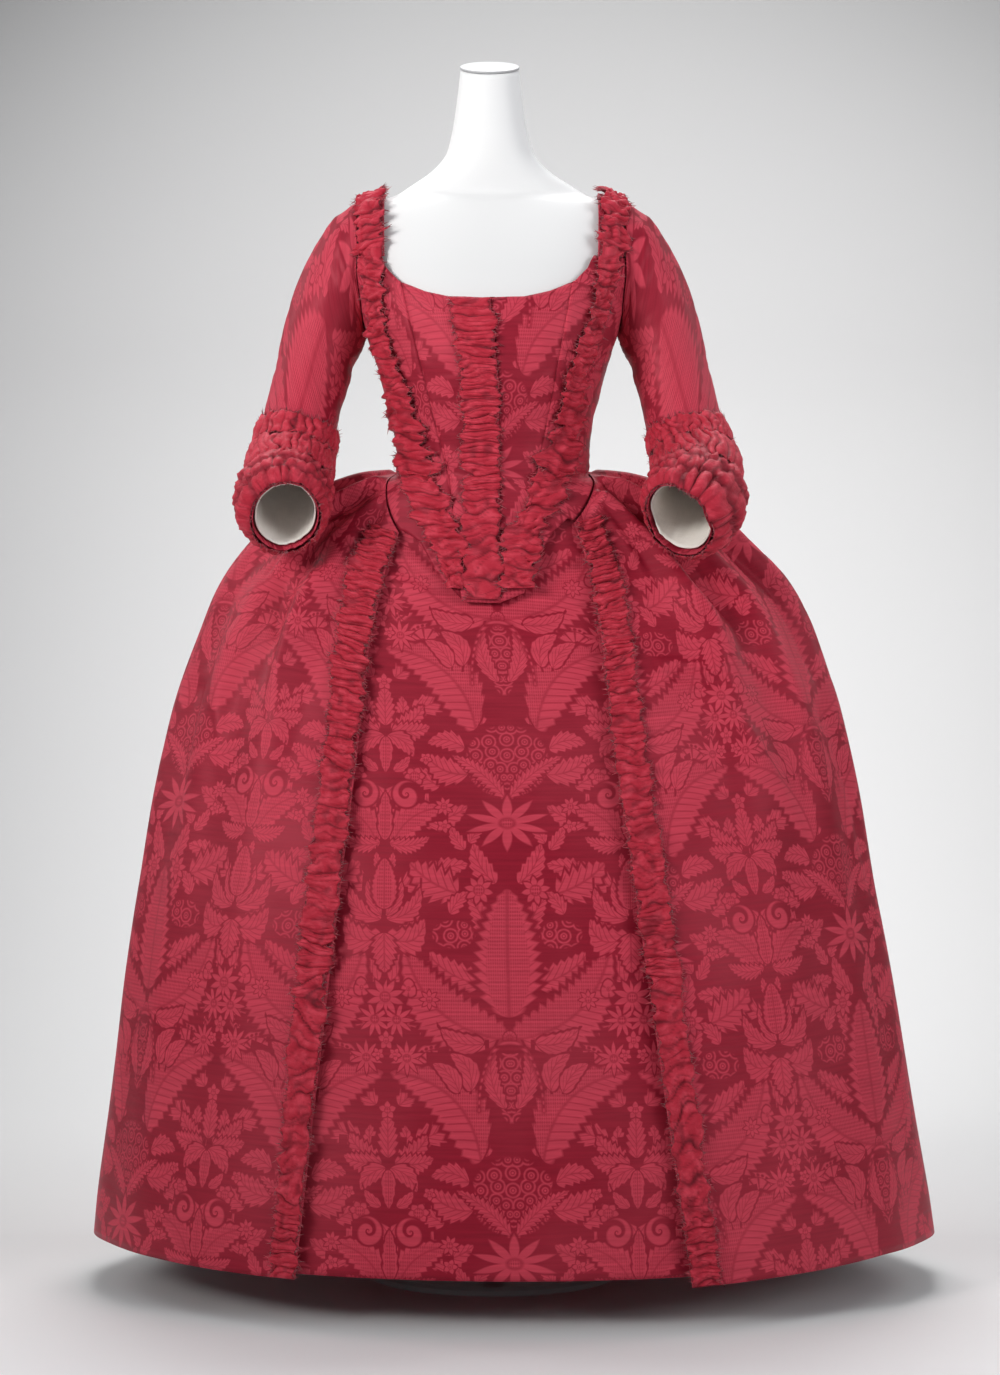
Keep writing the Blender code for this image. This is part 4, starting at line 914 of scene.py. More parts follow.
def make_silk_sleeve(side):
    turn, place = round_grid(SLEEVE_GRID, 0.0, SLEEVE_END, math.pi)
    inside = 0.5 - 0.5 * np.cos(turn)
    elbow = np.exp(-((place - 6.2) / 1.2) ** 2)
    head = np.exp(-((place - 0.9) / 0.8) ** 2)
    creases = noise(place * 3.4 + np.cos(turn), np.sin(turn) * 1.2, 41 + len(side))
    creases = 0.0022 * creases * elbow * (0.35 + inside)
    creases += 0.0012 * round_noise(turn, 8, place * 1.1, 42) * ease(place - 0.4)
    creases += 0.0018 * round_noise(turn, 24, place * 0.6, 43) * head * ease(place / 0.5)
    creases += 0.0005 * round_noise(turn, 24, place * 5.0, 44)
    creases = creases * ease(place / 0.4) * ease((SLEEVE_END - place) / 0.6)
    creases = np.maximum(creases, -0.0016)
    points = sleeve_out(side, turn, place - sleeve_rim(side, turn, place), creases)
    uv = sleeve_map(points, SLEEVE_GIRTH)
    uv[..., 0] += 0.07
    add_cloth("silk_sleeve_" + side, points, uv, mirrored=side == "right", closed=True)


def make_linen_lining(side):
    turn, place = round_grid(LINING_GRID, LINING_FROM, SLEEVE_END - LINING_SET_BACK)
    waves = 0.0008 * round_noise(turn, 12, place * 1.3, 51)
    waves += 0.0005 * round_noise(turn, 36, place * 3, 52)
    lift = -(2 * WALL + SEAM_GAP) - 0.0004 - np.abs(waves) * ease((SLEEVE_END - place) / 0.3)
    points = sleeve_out(side, turn, place - sleeve_rim(side, turn, place), lift)
    add_cloth("linen_lining_" + side, points, sleeve_map(points, LINING_GIRTH),
              mirrored=side == "right", closed=True)


def groove(cycles, width):
    """Nearness to whole numbers, 1 on them, falling away within a width."""
    away = np.abs(cycles - np.round(cycles))
    return np.exp(-(away / width) ** 2)


EDGE_LINES = []


def keep_edge(points, away):
    """Keeps an edge of a ruche, with the direction that its threads stick out in."""
    EDGE_LINES.append((points, unit(away)))


def make_silk_cuff(side, name, start, end, pleat, puff, tiers, folds, furrow, facet, seed):
    """A gathered band round the sleeve, its pleats pressed flat or puffed."""
    turn, across = round_grid(CUFF_GRID, 0.0, 1.0)
    seed += len(side)

    def waver(count, crosswise, more):
        return round_noise(turn, count, across * crosswise, seed + more)

    edge = 0.09 * waver(72, 0, 0) + 0.05 * waver(24, 0, 9)
    edge = edge * (1 - ease(across / 0.3)) - edge[:, ::-1] * ease((across - 0.7) / 0.3) * (tiers == 1)
    place = np.minimum(mix(start, end, across) + edge * (end - start), SLEEVE_END)
    cycles = turn * folds / (2 * math.pi) + 0.75 * waver(16, 1.4, 1)
    cycles += 0.50 * waver(30, 2.6, 5)
    depth = 0.65 + 0.45 * waver(folds, 1.2, 6)
    tier = across * tiers + (0.32 * waver(11, 2, 11) + 0.10 * waver(40, 0, 12)) * (tiers > 1)
    cycles += 0.43 * np.clip(np.floor(tier), 0, tiers - 1)
    between = groove(tier, 0.13) * (tier > 0.4) * (tier < tiers - 0.4)
    body = (1 - groove(cycles, furrow) * depth) * (1 - 0.9 * between)
    facets = round_noise(turn, 36, across * 3.4 + np.sin(turn * 9), seed + 7)
    facets = 1 - 2 * np.abs(facets) ** 0.7
    dome = np.sin(math.pi * np.clip(across, 0, 1)) ** 0.6
    flare = ease(np.abs(across - 0.5) * 2.6 - 0.3)
    inward = 0.5 - 0.5 * np.cos(turn)
    lift = WALL + 0.0005 + pleat * body * (0.55 + 0.45 * dome)
    lift += puff * (1 - 0.62 * inward) * dome + 0.0007 * waver(120, 3.0, 2) + facet * facets * dome
    lift += 0.0042 * (tier - np.floor(tier)) ** 2 * (tiers > 1) * (1 - 0.5 * inward)
    lift += 0.0020 * flare * (0.5 + 0.5 * waver(60, 2, 3))
    if tiers > 1:
        lift += 0.0035 * (0.5 + 0.5 * waver(12, 2.2, 4)) * dome * (1 - 0.5 * inward)
        lift *= 1 - 0.45 * ease((across - 0.86) / 0.14)
    lift = np.maximum(lift, WALL + 0.0006)
    points = sleeve_out(side, turn, place - sleeve_rim(side, turn, place), lift)
    # The crease mask marks where shade is painted: the furrows between the pleats, the hollows of the
    # facets and the grooves between the tiers.
    crease = np.maximum(groove(cycles, 0.10) * np.clip(depth, 0, 1), ease((-facets - 0.35) * 2) * 0.5)
    crease = np.maximum(crease, 0.9 * between)
    for rim, inner in ((points[0], points[1]), (points[-1], points[-2])):
        keep_edge(rim, unit(rim - inner) + 0.5 * unit(rim - rim.mean(0)))
    add_cloth(f"silk_cuff_{name}_{side}", points, sleeve_map(points, CUFF_GIRTH),
              mirrored=side == "right", closed=True, crease=crease)


# Ruches: one gathered strip each, given by two lines and the length of one puff

RUCHE_WIDTH = 0.042
RUCHE_FULLNESS = 1.35
RUCHE_COLUMNS = ("length", "rows", "columns", "pitch", "height", "clearance", "seed", "crush", "torn")
RUCHES = {
    "centre_front_ruche": (0.37, 400, 16, 0.0135, 0.0046, RUCHE_CLEARANCE, 71, 0.26, 1.0),
    "robing_": (0.56, 600, 16, 0.0240, 0.0058, ROBING_CLEARANCE, 81, 0.50, 1.6),
    "skirt_ruche_": (0.98, 900, 14, 0.0195, 0.0066, RUCHE_CLEARANCE, 91, 0.26, 1.0),
}


def make_ruche(name, edges, point_at, rise=lambda along: 0.0):
    """A gathered strip between two lines; edges gives the two for shares of its length."""
    kind, side = split_side(name)
    ruche = dict(zip(RUCHE_COLUMNS, RUCHES[kind]))
    pitch, torn = ruche["pitch"], ruche["torn"]
    along, across = np.meshgrid(np.linspace(0, 1, ruche["rows"]), np.linspace(0, 1, ruche["columns"]),
                                indexing="ij")
    s = along * ruche["length"]

    def waver(step, crosswise, more, start=0.0):
        return noise(s / step, across * crosswise + start, ruche["seed"] + len(side) + more)

    cycles = s / pitch + (0.60 * waver(1.9 * pitch, 1.3, 0) + 0.22 * waver(0.6 * pitch, 2.4, 9))
    depth = 0.70 + 0.45 * waver(pitch, 1.6, 10)
    body = 1 - groove(cycles, 0.15) * depth
    inner = cycles * 2.3 + 0.8 * waver(pitch, 2.5, 1)
    second = 1 - (0.5 + 0.4 * waver(pitch, 3.1, 11)) * groove(inner, 0.12)
    facets = crumple(s / 0.0105, across * 3.0, ruche["seed"] + len(side) + 3)
    dome = 1 - np.abs(2 * across - 1) ** 3
    rim = ease((np.abs(2 * across - 1) - 0.62) / 0.38)
    shape = body * (0.42 + 0.30 * dome) * second + ruche["crush"] * facets
    shape += 0.12 * waver(0.0034, 3.2, 2)
    shape += rim * (0.34 + 0.46 * waver(0.0062, 2, 4))
    lift = WALL + ruche["clearance"] + rise(along) + ruche["height"] * np.clip(shape, 0.02, 1.35)
    near = torn * (0.085 * waver(0.0050, 0, 5) + 0.075 * waver(0.0135, 0, 6))
    far = torn * (0.085 * waver(0.0050, 0, 7, 9) + 0.075 * waver(0.0135, 0, 8))
    pull = 0.07 * (1 - body)
    placed = across + (near + pull) * (1 - ease(across / 0.4))
    placed -= (far + pull) * ease((across - 0.6) / 0.4)
    start, end = edges(along)
    points = point_at(mix(start[0], end[0], placed), mix(start[1], end[1], placed), lift)
    # The crease mask marks where shade is painted: the furrows of the gathers and the hollows of the
    # facets.
    crease = np.maximum(groove(cycles, 0.085) * np.clip(depth * 1.2, 0, 1), 0.55 * groove(inner, 0.07))
    crease = np.maximum(crease * 0.95, ease((-facets - 0.4) * 2.5) * 0.55)
    out = unit(np.cross(points[1:, -1] - points[:-1, -1], points[:-1, 0] - points[:-1, -1]))
    out = np.concatenate((out, out[-1:]))
    for edge, inside in ((0, 2), (-1, -3)):
        keep_edge(points[:, edge], points[:, edge] - points[:, inside] + 0.002 * out)
    uv = stacked(across * RUCHE_WIDTH, s * RUCHE_FULLNESS)
    add_cloth("silk_" + name, points, uv, crease=crease)


def make_silk_centre_ruche():
    top = float(front_place(BODICE_MIDDLE + NECKLINE_MIDDLE, NECK["z"][0]))
    bottom = float(front_place(BODICE_MIDDLE, CENTRE["z"][0] + 0.003))

    def edges(along):
        place = mix(top + 0.05, bottom, along)
        z = base(-math.pi / 2, place)[..., 2]
        width = lookup(CENTRE, "z", z, "ruche_width")
        right = line_angle(CENTRE, "opening_x", place)
        left = line_angle(CENTRE, "opening_x", place, -width)
        return (left, place), (right, place)

    make_ruche("centre_front_ruche", edges, on_base)


ROBING_SPREAD = 0.32        # how much wider the robings lie below the waist
ROBING_SPREAD_FROM = 1.10


def make_silk_robing(side):
    """The ruche from the shoulder down the bodice and along the tab."""

    def on_strap(along):
        return 0.5 * (1 - np.minimum(along, STRAP_SHARE) / STRAP_SHARE) + 0.03

    def rise(along):
        return np.where(along < STRAP_SHARE, strap_lift(on_strap(along)),
                        strap_lift(0.03) * ease((STRAP_SHARE + 0.04 - along) / 0.04))

    def line(z, offset):
        wide = 1 + ROBING_SPREAD * ease((ROBING_SPREAD_FROM - z) / 0.15)
        x = lookup(TRIM, "z", z, side + "_x") + offset * wide * lookup(TRIM, "z", z, side + "_width")
        place = front_place(BODICE_MIDDLE + x, z)
        return front_angle(BODICE_MIDDLE + x, place), place

    def edges(along):
        on_top = along < STRAP_SHARE
        share = np.clip((along - STRAP_SHARE) / (1 - STRAP_SHARE), 0.0, 1.0)
        z = mix(TRIM["z"][-1], TRIM["z"][0], share)
        pair = []
        for strap_across, offset in ((0.04, SIGN[side] * -0.5), (1.0, SIGN[side] * 0.5)):
            angle, place = strap_place("right", on_strap(along), strap_across + 0 * along)
            if side == "left":
                angle = -math.pi - angle
            line_at = line(z, offset)
            pair.append((np.where(on_top, angle, line_at[0]), np.where(on_top, place, line_at[1])))
        return pair[::SIGN[side]]

    make_ruche("robing_" + side, edges, on_base, rise)


def make_silk_skirt_ruche(side):
    """The ruche down the front edge of the gown's skirt."""
    top = float(waist_seam(side, CORNER[side])) + 0.08

    def edges(along):
        place = mix(top, HEM - 0.02, along)
        z = base(side_turn(side, edge_degrees(side, place)), place)[..., 2]
        width = lookup(EDGE, "z", z, side + "_width")
        inner = (edge_degrees(side, place, 0.001), place)
        outer = (edge_degrees(side, place, width), place)
        return (inner, outer) if side == "right" else (outer, inner)

    make_ruche("skirt_ruche_" + side, edges, lambda *where: gown_points(side, *where))


# Dress form and cap

def make_white_form():
    """Torso and neck as one smooth closed shell, drawn in from the cloth."""
    table = columns_of(BASE_COLUMNS, NECK_RINGS + BASE_RINGS[:WAIST + 1] + HIP_RINGS)
    last = len(table["name"]) - 1
    shoulder, waist = table["name"].index("shoulder"), table["name"].index("waist")

    def surface(angle, place):
        return ring_points(table, angle, np.clip(place, 0.0, last))

    turn, place = round_grid(FORM_GRID, 0.0, last)
    at_shoulder = ease(1.2 - np.abs(place - shoulder) / 4)
    at_waist = ease((place - waist + 3) / 2)
    inset = mix(BODICE_EASE, FORM_CLEARANCE, at_waist) + SHOULDER_EASE * at_shoulder
    inset = inset + UNDER_WAIST * at_waist + 0.0004
    inner = np.clip(place, 0.02, last - 0.02)
    points = surface(turn, place) - outward(surface, turn, inner) * inset[..., None]
    top = points[0]
    top[:, 2] = table["side_z"][0] + (top[:, 1] - table["centre_y"][0]) * math.tan(NECK_LEAN)
    points[-1, :, 2] = table["side_z"][-1]
    lids = []
    for ring, inward in ((points[0], -1), (points[-1], 1)):
        middle = ring.mean(axis=0)
        rings = [middle + (ring - middle) * share for share in (0.985, 0.9, 0.5, 0.02)]
        lids.append(rings[::-1] if inward < 0 else rings)
    points = np.concatenate((np.stack(lids[0]), points, np.stack(lids[1])))
    add_solid("white_form", "dress_form", "form_white", points)


def add_solid(name, node, slot, points):
    """A round grid in place of a solid, its first and last ring closed with one face each."""
    mesh = grid_mesh(name.split("_", 1)[1], points, True)
    count = points.shape[1]
    bm = bmesh.new()
    bm.from_mesh(mesh)
    bm.verts.ensure_lookup_table()
    total = len(bm.verts)
    bm.faces.new([bm.verts[i] for i in range(count)])
    bm.faces.new([bm.verts[i] for i in reversed(range(total - count, total))])
    bmesh.ops.recalc_face_normals(bm, faces=bm.faces)
    bm.to_mesh(mesh)
    bm.free()
    mesh.shade_smooth()
    place_piece(add_piece(name, mesh, slot), node)


def make_grey_cap():
    """The disc that closes the neck, with a rounded rim, leaning forward with it."""
    top = columns_of(BASE_COLUMNS, NECK_RINGS[:1])
    middle_y = (top["front_y"][0] + top["back_y"][0]) / 2
    rise = CAP_THICKNESS / 2 + SEAM_GAP
    centre = np.array((top["centre_x"][0], middle_y, top["side_z"][0]))
    centre = centre + np.array((0, -math.sin(NECK_LEAN), math.cos(NECK_LEAN))) * rise
    half = CAP_THICKNESS / 2
    bend = np.linspace(0, math.pi / 2, 6)
    rim = CAP_ROUNDING
    profile = [(0.0008, half), (CAP_RADIUS * 0.55, half)]
    profile += [(CAP_RADIUS - inward, half - deep) for inward, deep in CAP_GROOVE]
    profile += [(CAP_RADIUS - rim + rim * math.sin(b), half - rim + rim * math.cos(b)) for b in bend]
    profile += [(CAP_RADIUS - rim + rim * math.cos(b), -half + rim - rim * math.sin(b)) for b in bend]
    profile += [(CAP_RADIUS * 0.5, -half), (0.0008, -half)]
    profile = np.array(profile)
    turn = round_turns(CAP_COLUMNS)
    local = stacked(profile[:, :1] * np.cos(turn), profile[:, :1] * np.sin(turn),
                    profile[:, 1:] + 0 * turn)
    c, s = math.cos(NECK_LEAN), math.sin(NECK_LEAN)
    points = centre + stacked(local[..., 0], local[..., 1] * c - local[..., 2] * s,
                              local[..., 1] * s + local[..., 2] * c)
    add_solid("grey_cap", "neck_cap", "cap_grey", points)


# Node helpers: a Value is a socket that can be added and multiplied like a number

def add_node(tree, kind, inputs=None, **settings):
    """A node with its settings and inputs: each a number, a colour, a socket or a Value."""
    node = tree.nodes.new(kind)
    for name, value in settings.items():
        setattr(node, name, value)
    for key, value in (inputs or {}).items():
        if isinstance(value, (Value, bpy.types.NodeSocket)):
            tree.links.new(getattr(value, "socket", value), node.inputs[key])
        else:
            node.inputs[key].default_value = value
    return node


class Value:
    def __init__(self, tree, socket):
        self.tree, self.socket = tree, socket

    def combine(self, operation, *values):
        node = add_node(self.tree, "ShaderNodeMath", dict(enumerate(values)), operation=operation)
        return Value(self.tree, node.outputs[0])

    def op(self, operation, *others):
        return self.combine(operation, self, *others)

    def __add__(self, other):
        return self.op("ADD", other)

    def __sub__(self, other):
        return self.op("SUBTRACT", other)

    def __mul__(self, other):
        return self.op("MULTIPLY", other)

    def flip(self):
        """One minus the value."""
        return self.combine("SUBTRACT", 1.0, self)

    def size(self):
        return self.op("ABSOLUTE")

    def times_plus(self, factor, more):
        return self.op("MULTIPLY_ADD", factor, more)

    def sharpen(self, factor):
        """Times a factor, kept between 0 and 1. A node of its own does the clamping: a Math
        node's own clamp is worked out last, and a long tree then needs too much memory."""
        steep = self if factor == 1.0 else self * factor
        return Value(self.tree, add_node(self.tree, "ShaderNodeClamp", {"Value": steep}).outputs[0])


def new_group(name, inputs, outputs):
    """A shader node group. Each input has its default, or None for a vector."""
    tree = bpy.data.node_groups.new(name, "ShaderNodeTree")
    for label, default in inputs.items():
        kind = "NodeSocketVector" if default is None else "NodeSocketFloat"
        socket = tree.interface.new_socket(label, in_out="INPUT", socket_type=kind)
        if default is not None:
            socket.default_value = default
    for label in outputs:
        tree.interface.new_socket(label, in_out="OUTPUT", socket_type="NodeSocketFloat")
    source, sink = tree.nodes.new("NodeGroupInput"), tree.nodes.new("NodeGroupOutput")
    return tree, {label: Value(tree, source.outputs[label]) for label in inputs}, sink


def put_out(tree, sink, **values):
    for label, value in values.items():
        tree.links.new(value.socket, sink.inputs[label])
    return tree


def use_group(tree, group, links):
    """The outputs of a node group whose inputs are linked as given."""
    return [Value(tree, output)
            for output in add_node(tree, "ShaderNodeGroup", links, node_tree=group).outputs]


def split(tree, vector):
    """The three numbers of a vector."""
    return [Value(tree, output)
            for output in add_node(tree, "ShaderNodeSeparateXYZ", {0: vector}).outputs]


def attribute(tree, name, output):
    return add_node(tree, "ShaderNodeAttribute", attribute_name=name).outputs[output]


def new_finish(name, roughness, **constants):
    """A material with its Principled shader; constants are set on the shader's own sockets."""
    made = bpy.data.materials.new(name)
    made.use_nodes = True
    shader = made.node_tree.nodes["Principled BSDF"]
    shader.inputs["Roughness"].default_value = roughness
    for label, value in constants.items():
        shader.inputs[label.replace("_", " ")].default_value = value
    return made, made.node_tree, shader


def dress(tree, shader, tone, bumps=(), rough=None):
    """Links a finish's colour, its bumps (height, distance and strength) and its roughness."""
    normal = None
    for height, distance, strength in bumps:
        inputs = {"Distance": distance, "Strength": strength, "Height": height}
        if normal is not None:
            inputs["Normal"] = normal
        normal = add_node(tree, "ShaderNodeBump", inputs).outputs["Normal"]
    for label, source in (("Base Color", tone), ("Roughness", rough), ("Normal", normal)):
        if source is not None:
            tree.links.new(getattr(source, "socket", source), shader.inputs[label])


def colour_mix(tree, factor, low, high, blend="MIX"):
    low, high = ((*value, 1.0) if isinstance(value, tuple) else value for value in (low, high))
    return add_node(tree, "ShaderNodeMix", {"Factor": factor, 6: low, 7: high},
                    data_type="RGBA", blend_type=blend, clamp_result=False).outputs[2]


def noise_value(tree, vector, scale, detail=3.0, roughness=0.5):
    """Noise with one scale, or with a scale for each axis."""
    if isinstance(scale, tuple):
        mapping = add_node(tree, "ShaderNodeMapping", {"Vector": vector, "Scale": scale})
        vector, scale = mapping.outputs["Vector"], 1.0
    node = add_node(tree, "ShaderNodeTexNoise", {
        "Vector": vector, "Scale": scale, "Detail": detail, "Roughness": roughness})
    return Value(tree, node.outputs["Fac"])


def uv_vector(tree, name="cloth"):
    return add_node(tree, "ShaderNodeUVMap", uv_map=name).outputs["UV"]


def object_vector(tree):
    return add_node(tree, "ShaderNodeTexCoord").outputs["Object"]


def silk_threads_group():
    """Fine ribs of the weave and slubs in the weft, as a height, with a streak for the colour."""
    tree, given, sink = new_group("Silk threads", {"Vector": None}, ("Height", "Streak"))
    cloth = given["Vector"].socket
    weft = noise_value(tree, cloth, (35.0, 900.0, 1.0), 2.0)
    slub = noise_value(tree, cloth, (12.0, 260.0, 1.0), 2.0)
    warp = noise_value(tree, cloth, (700.0, 30.0, 1.0), 1.0)
    return put_out(tree, sink, Height=weft * 0.5 + slub * 0.35 + warp * 0.15, Streak=slub)


SHARED = {}


def shared(make):
    """A node group that several materials use, built once."""
    if make not in SHARED:
        SHARED[make] = make()
    return SHARED[make]


# The damask: leaves, flower heads and pearl fans, mirrored on upright axes

CELL_HALF_WIDTH = 0.144
CELL_HEIGHT = 0.508
MAIN_FOOT = -0.055          # where the main axis's own motifs start, and the other axis's
SECOND_FOOT = -0.030
DRAWN = ("Figure", "Cover")


def leaf_group():
    """A toothed leaf from (0, 0) to (1, 0), half a unit of width each side of its bent rib."""
    tree, given, sink = new_group("Damask leaf", {
        "X": 0.0, "Y": 0.0, "Mesh": 0.0, "Bend": 0.0, "Teeth": 8.0, "Bite": 0.25, "Veins": 12.0,
        "Lace half": 0.0, "Lace heart": 0.0}, DRAWN)
    p, q = given["X"], given["Y"]
    arch = p * p.flip()
    q = arch.times_plus(given["Bend"], q)
    away = q.size()
    full = (arch * 4.0).op("POWER", 0.55) * (p * -0.55 + 1.25)
    tooth = p.times_plus(given["Teeth"], away * -1.1).op("PINGPONG", 0.5) * 2.0
    edge = full - tooth * given["Bite"] * full
    room = edge - away
    figure = room.sharpen(9.0)
    vein = p.times_plus(given["Veins"], away * -2.6).op("PINGPONG", 0.5)
    vein = (vein * 7.5 + (full * 0.82 - away).sharpen(6.0).flip() - 0.2).sharpen(1.0)
    rib = away.sharpen(11.0)
    laced = q.op("GREATER_THAN", 0.0) * given["Lace half"]
    laced = laced + (full * 0.62 - away).sharpen(20.0) * given["Lace heart"]
    plain = vein.op("MAXIMUM", laced.sharpen(1.0))
    lace = (given["Mesh"] * laced.sharpen(1.0)).flip()
    inside = plain * rib * lace * 0.62 + 0.38
    return put_out(tree, sink, Figure=figure * inside, Cover=(room + 0.22).sharpen(9.0))


def bloom_group():
    """A flower head of unit radius with separate petals round a ringed heart."""
    tree, given, sink = new_group("Damask bloom", {
        "X": 0.0, "Y": 0.0, "Mesh": 0.0, "Petals": 8.0, "Bite": 0.45, "Heart": 0.28, "Turn": 0.0},
        DRAWN)
    x, y = given["X"], given["Y"]
    r = (x * x + y * y).op("SQRT")
    turn = y.op("ARCTAN2", x) + given["Turn"]
    petal = (turn * (0.5 / math.pi)) * given["Petals"]
    lobe = petal.op("PINGPONG", 0.5) * 2.0
    edge = (lobe.flip() * given["Bite"]).flip()
    room = edge - r
    split = (lobe * 6.0 - 0.4).sharpen(1.0).op("MAXIMUM", (r * -4.0 + 1.9).sharpen(1.0))
    ring = ((r - given["Heart"]).size() * 13.0).sharpen(1.0)
    grain = ((r - given["Heart"]) * -20.0).sharpen(1.0) * given["Mesh"]
    inside = split * ring * grain.flip() * 0.70 + 0.30
    return put_out(tree, sink, Figure=room.sharpen(8.0) * inside, Cover=(room + 0.16).sharpen(8.0))


def fan_group():
    """A fan of unit radius: plain petals inside an arc of pearls, open below its middle."""
    tree, given, sink = new_group(
        "Damask fan", {"X": 0.0, "Y": 0.0, "Petals": 10.0, "Pearls": 26.0}, DRAWN)
    x, y = given["X"], given["Y"]
    r = (x * x + y * y).op("SQRT")
    turn = y.op("ARCTAN2", x) * (0.5 / math.pi)
    scallop = (turn * given["Petals"]).op("PINGPONG", 0.5) * 2.0
    room = (scallop * 0.07 + 0.95) - r
    bead = (turn * given["Pearls"]).op("PINGPONG", 0.5) * 0.5
    spot = (r - 0.80) * (r - 0.80) + bead * bead * 0.16
    beads = ((spot * 160.0) - 0.35).sharpen(1.0)
    line = (((r - 0.69).size() * 24.0)).sharpen(1.0)
    petals = (scallop * 3.0 - 0.15).sharpen(1.0).op("MAXIMUM", (r * 8.0 - 5.2).sharpen(1.0))
    above = (y * 9.0 + 2.0).sharpen(1.0)
    return put_out(tree, sink, Figure=room.sharpen(12.0) * beads * line * petals * above,
                   Cover=(room + 0.10).sharpen(12.0) * above)


def scroll_group():
    """A curling scroll of unit radius."""
    tree, given, sink = new_group("Damask scroll", {"X": 0.0, "Y": 0.0, "Coils": 0.55}, DRAWN)
    x, y = given["X"], given["Y"]
    r = (x * x + y * y).op("SQRT")
    coil = y.op("ARCTAN2", x) * (0.5 / math.pi) + (r + 0.02).op("LOGARITHM", 2.718) * given["Coils"]
    band = (coil.op("PINGPONG", 0.5) * 9.0 - 1.1).sharpen(1.0)
    room = r.flip()
    return put_out(tree, sink, Figure=room.sharpen(9.0) * band, Cover=(room + 0.15).sharpen(9.0))


# Motifs by axis. Millimetres: across from the axis and up. Angle in degrees from straight across.
# Leaves: x, y, angle, length, half width, bend, teeth, bite, veins, and the lace of one half and of
# the heart if there is any
UNDER_MAIN_LEAVES = (
    (30, 318, 30, 74, 19, 0.40, 7, 0.28, 7),
    (24, 372, 66, 52, 14, -0.35, 6, 0.28, 6),
    (28, 122, 74, 50, 15, 0.45, 7, 0.26, 7),
    (92, 14, 60, 56, 17, 0.35, 6, 0.30, 6),
    (80, 44, 20, 46, 14, -0.25, 6, 0.30, 6),
    (112, 340, 96, 66, 17, 0.30, 6, 0.28, 6),
    (96, 440, 160, 54, 15, 0.30, 6, 0.28, 6),
    (14, 436, 62, 54, 14, 0.40, 5, 0.25, 5),
)
UNDER_SECOND_LEAVES = (
    (12, 276, 30, 60, 17, 0.45, 6, 0.28, 6),
    (8, 320, 62, 50, 15, 0.30, 6, 0.28, 6),
    (34, 140, 30, 58, 16, 0.35, 6, 0.26, 6),
    (14, 178, 56, 48, 14, 0.30, 6, 0.26, 6),
    (18, 430, 36, 54, 15, 0.30, 6, 0.26, 6),
    (40, 4, 16, 60, 16, 0.45, 6, 0.26, 6),
)
MAIN_LEAVES = (
    (36, 116, 44, 144, 34, -0.85, 13, 0.20, 15, 0.85, 0.0),
    (2, 254, 42, 158, 36, 0.78, 15, 0.22, 17, 0.85, 0.0),
    (30, 250, 18, 52, 13, 0.60, 5, 0.15, 6),
    (46, 196, 62, 48, 13, -0.70, 4, 0.12, 5),
    (60, 194, 48, 44, 11, -0.50, 4, 0.12, 5),
    (7, 176, 82, 72, 11, 0.95, 9, 0.25, 9),
    (46, 60, 24, 54, 19, 0.40, 6, 0.30, 6),
    (50, 92, 8, 44, 14, -0.50, 5, 0.30, 5),
    (2, 30, 40, 82, 11, -0.50, 12, 0.45, 12),
    (58, 424, 32, 66, 25, 0.20, 6, 0.42, 6),
    (66, 400, 130, 34, 10, 0.30, 4, 0.30, 5),
    (50, -32, 60, 32, 9, 0.20, 4, 0.30, 5),
    (44, -24, 128, 26, 8, 0.20, 4, 0.30, 5),
)
CENTRE_LEAF = (0, 280, 90, 150, 42, 0.0, 12, 0.24, 14, 0.0, 0.9)
SECOND_LEAVES = (
    (3, -24, 66, 82, 15, -1.30, 4, 0.10, 3),
    (9, -28, 38, 76, 20, -0.60, 8, 0.22, 7, 0.0, 0.75),
    (6, -26, 10, 48, 11, 0.60, 8, 0.40, 7),
    (4, 108, 70, 50, 15, 0.50, 7, 0.34, 7),
    (8, 112, 40, 50, 15, 0.40, 7, 0.34, 7),
    (8, 112, 8, 46, 14, 0.30, 7, 0.34, 7),
    (3, 106, -40, 40, 12, -0.50, 4, 0.20, 4),
    (10, 62, 44, 26, 7, 0.30, 3, 0.20, 3),
    (5, 372, 26, 48, 19, 0.85, 5, 0.26, 6),
    (4, 392, 44, 54, 12, 0.90, 5, 0.26, 6),
    (3, 396, 66, 44, 8, 0.40, 4, 0.20, 5),
    (3, 446, 74, 26, 6, 0.30, 4, 0.30, 4),
)
SECOND_CENTRE_LEAVES = (
    (0, 376, -90, 46, 17, 0.0, 6, 0.30, 6),
    (0, 104, -90, 44, 9, 0.0, 3, 0.15, 0, 0.0, 0.8),
    (0, 118, 90, 52, 13, 0.0, 6, 0.30, 7),
    (0, -22, 90, 58, 10, 0.0, 4, 0.20, 0, 0.0, 0.9),
    (0, 404, 90, 60, 16, 0.0, 9, 0.12, 0, 0.0, 0.95),
)
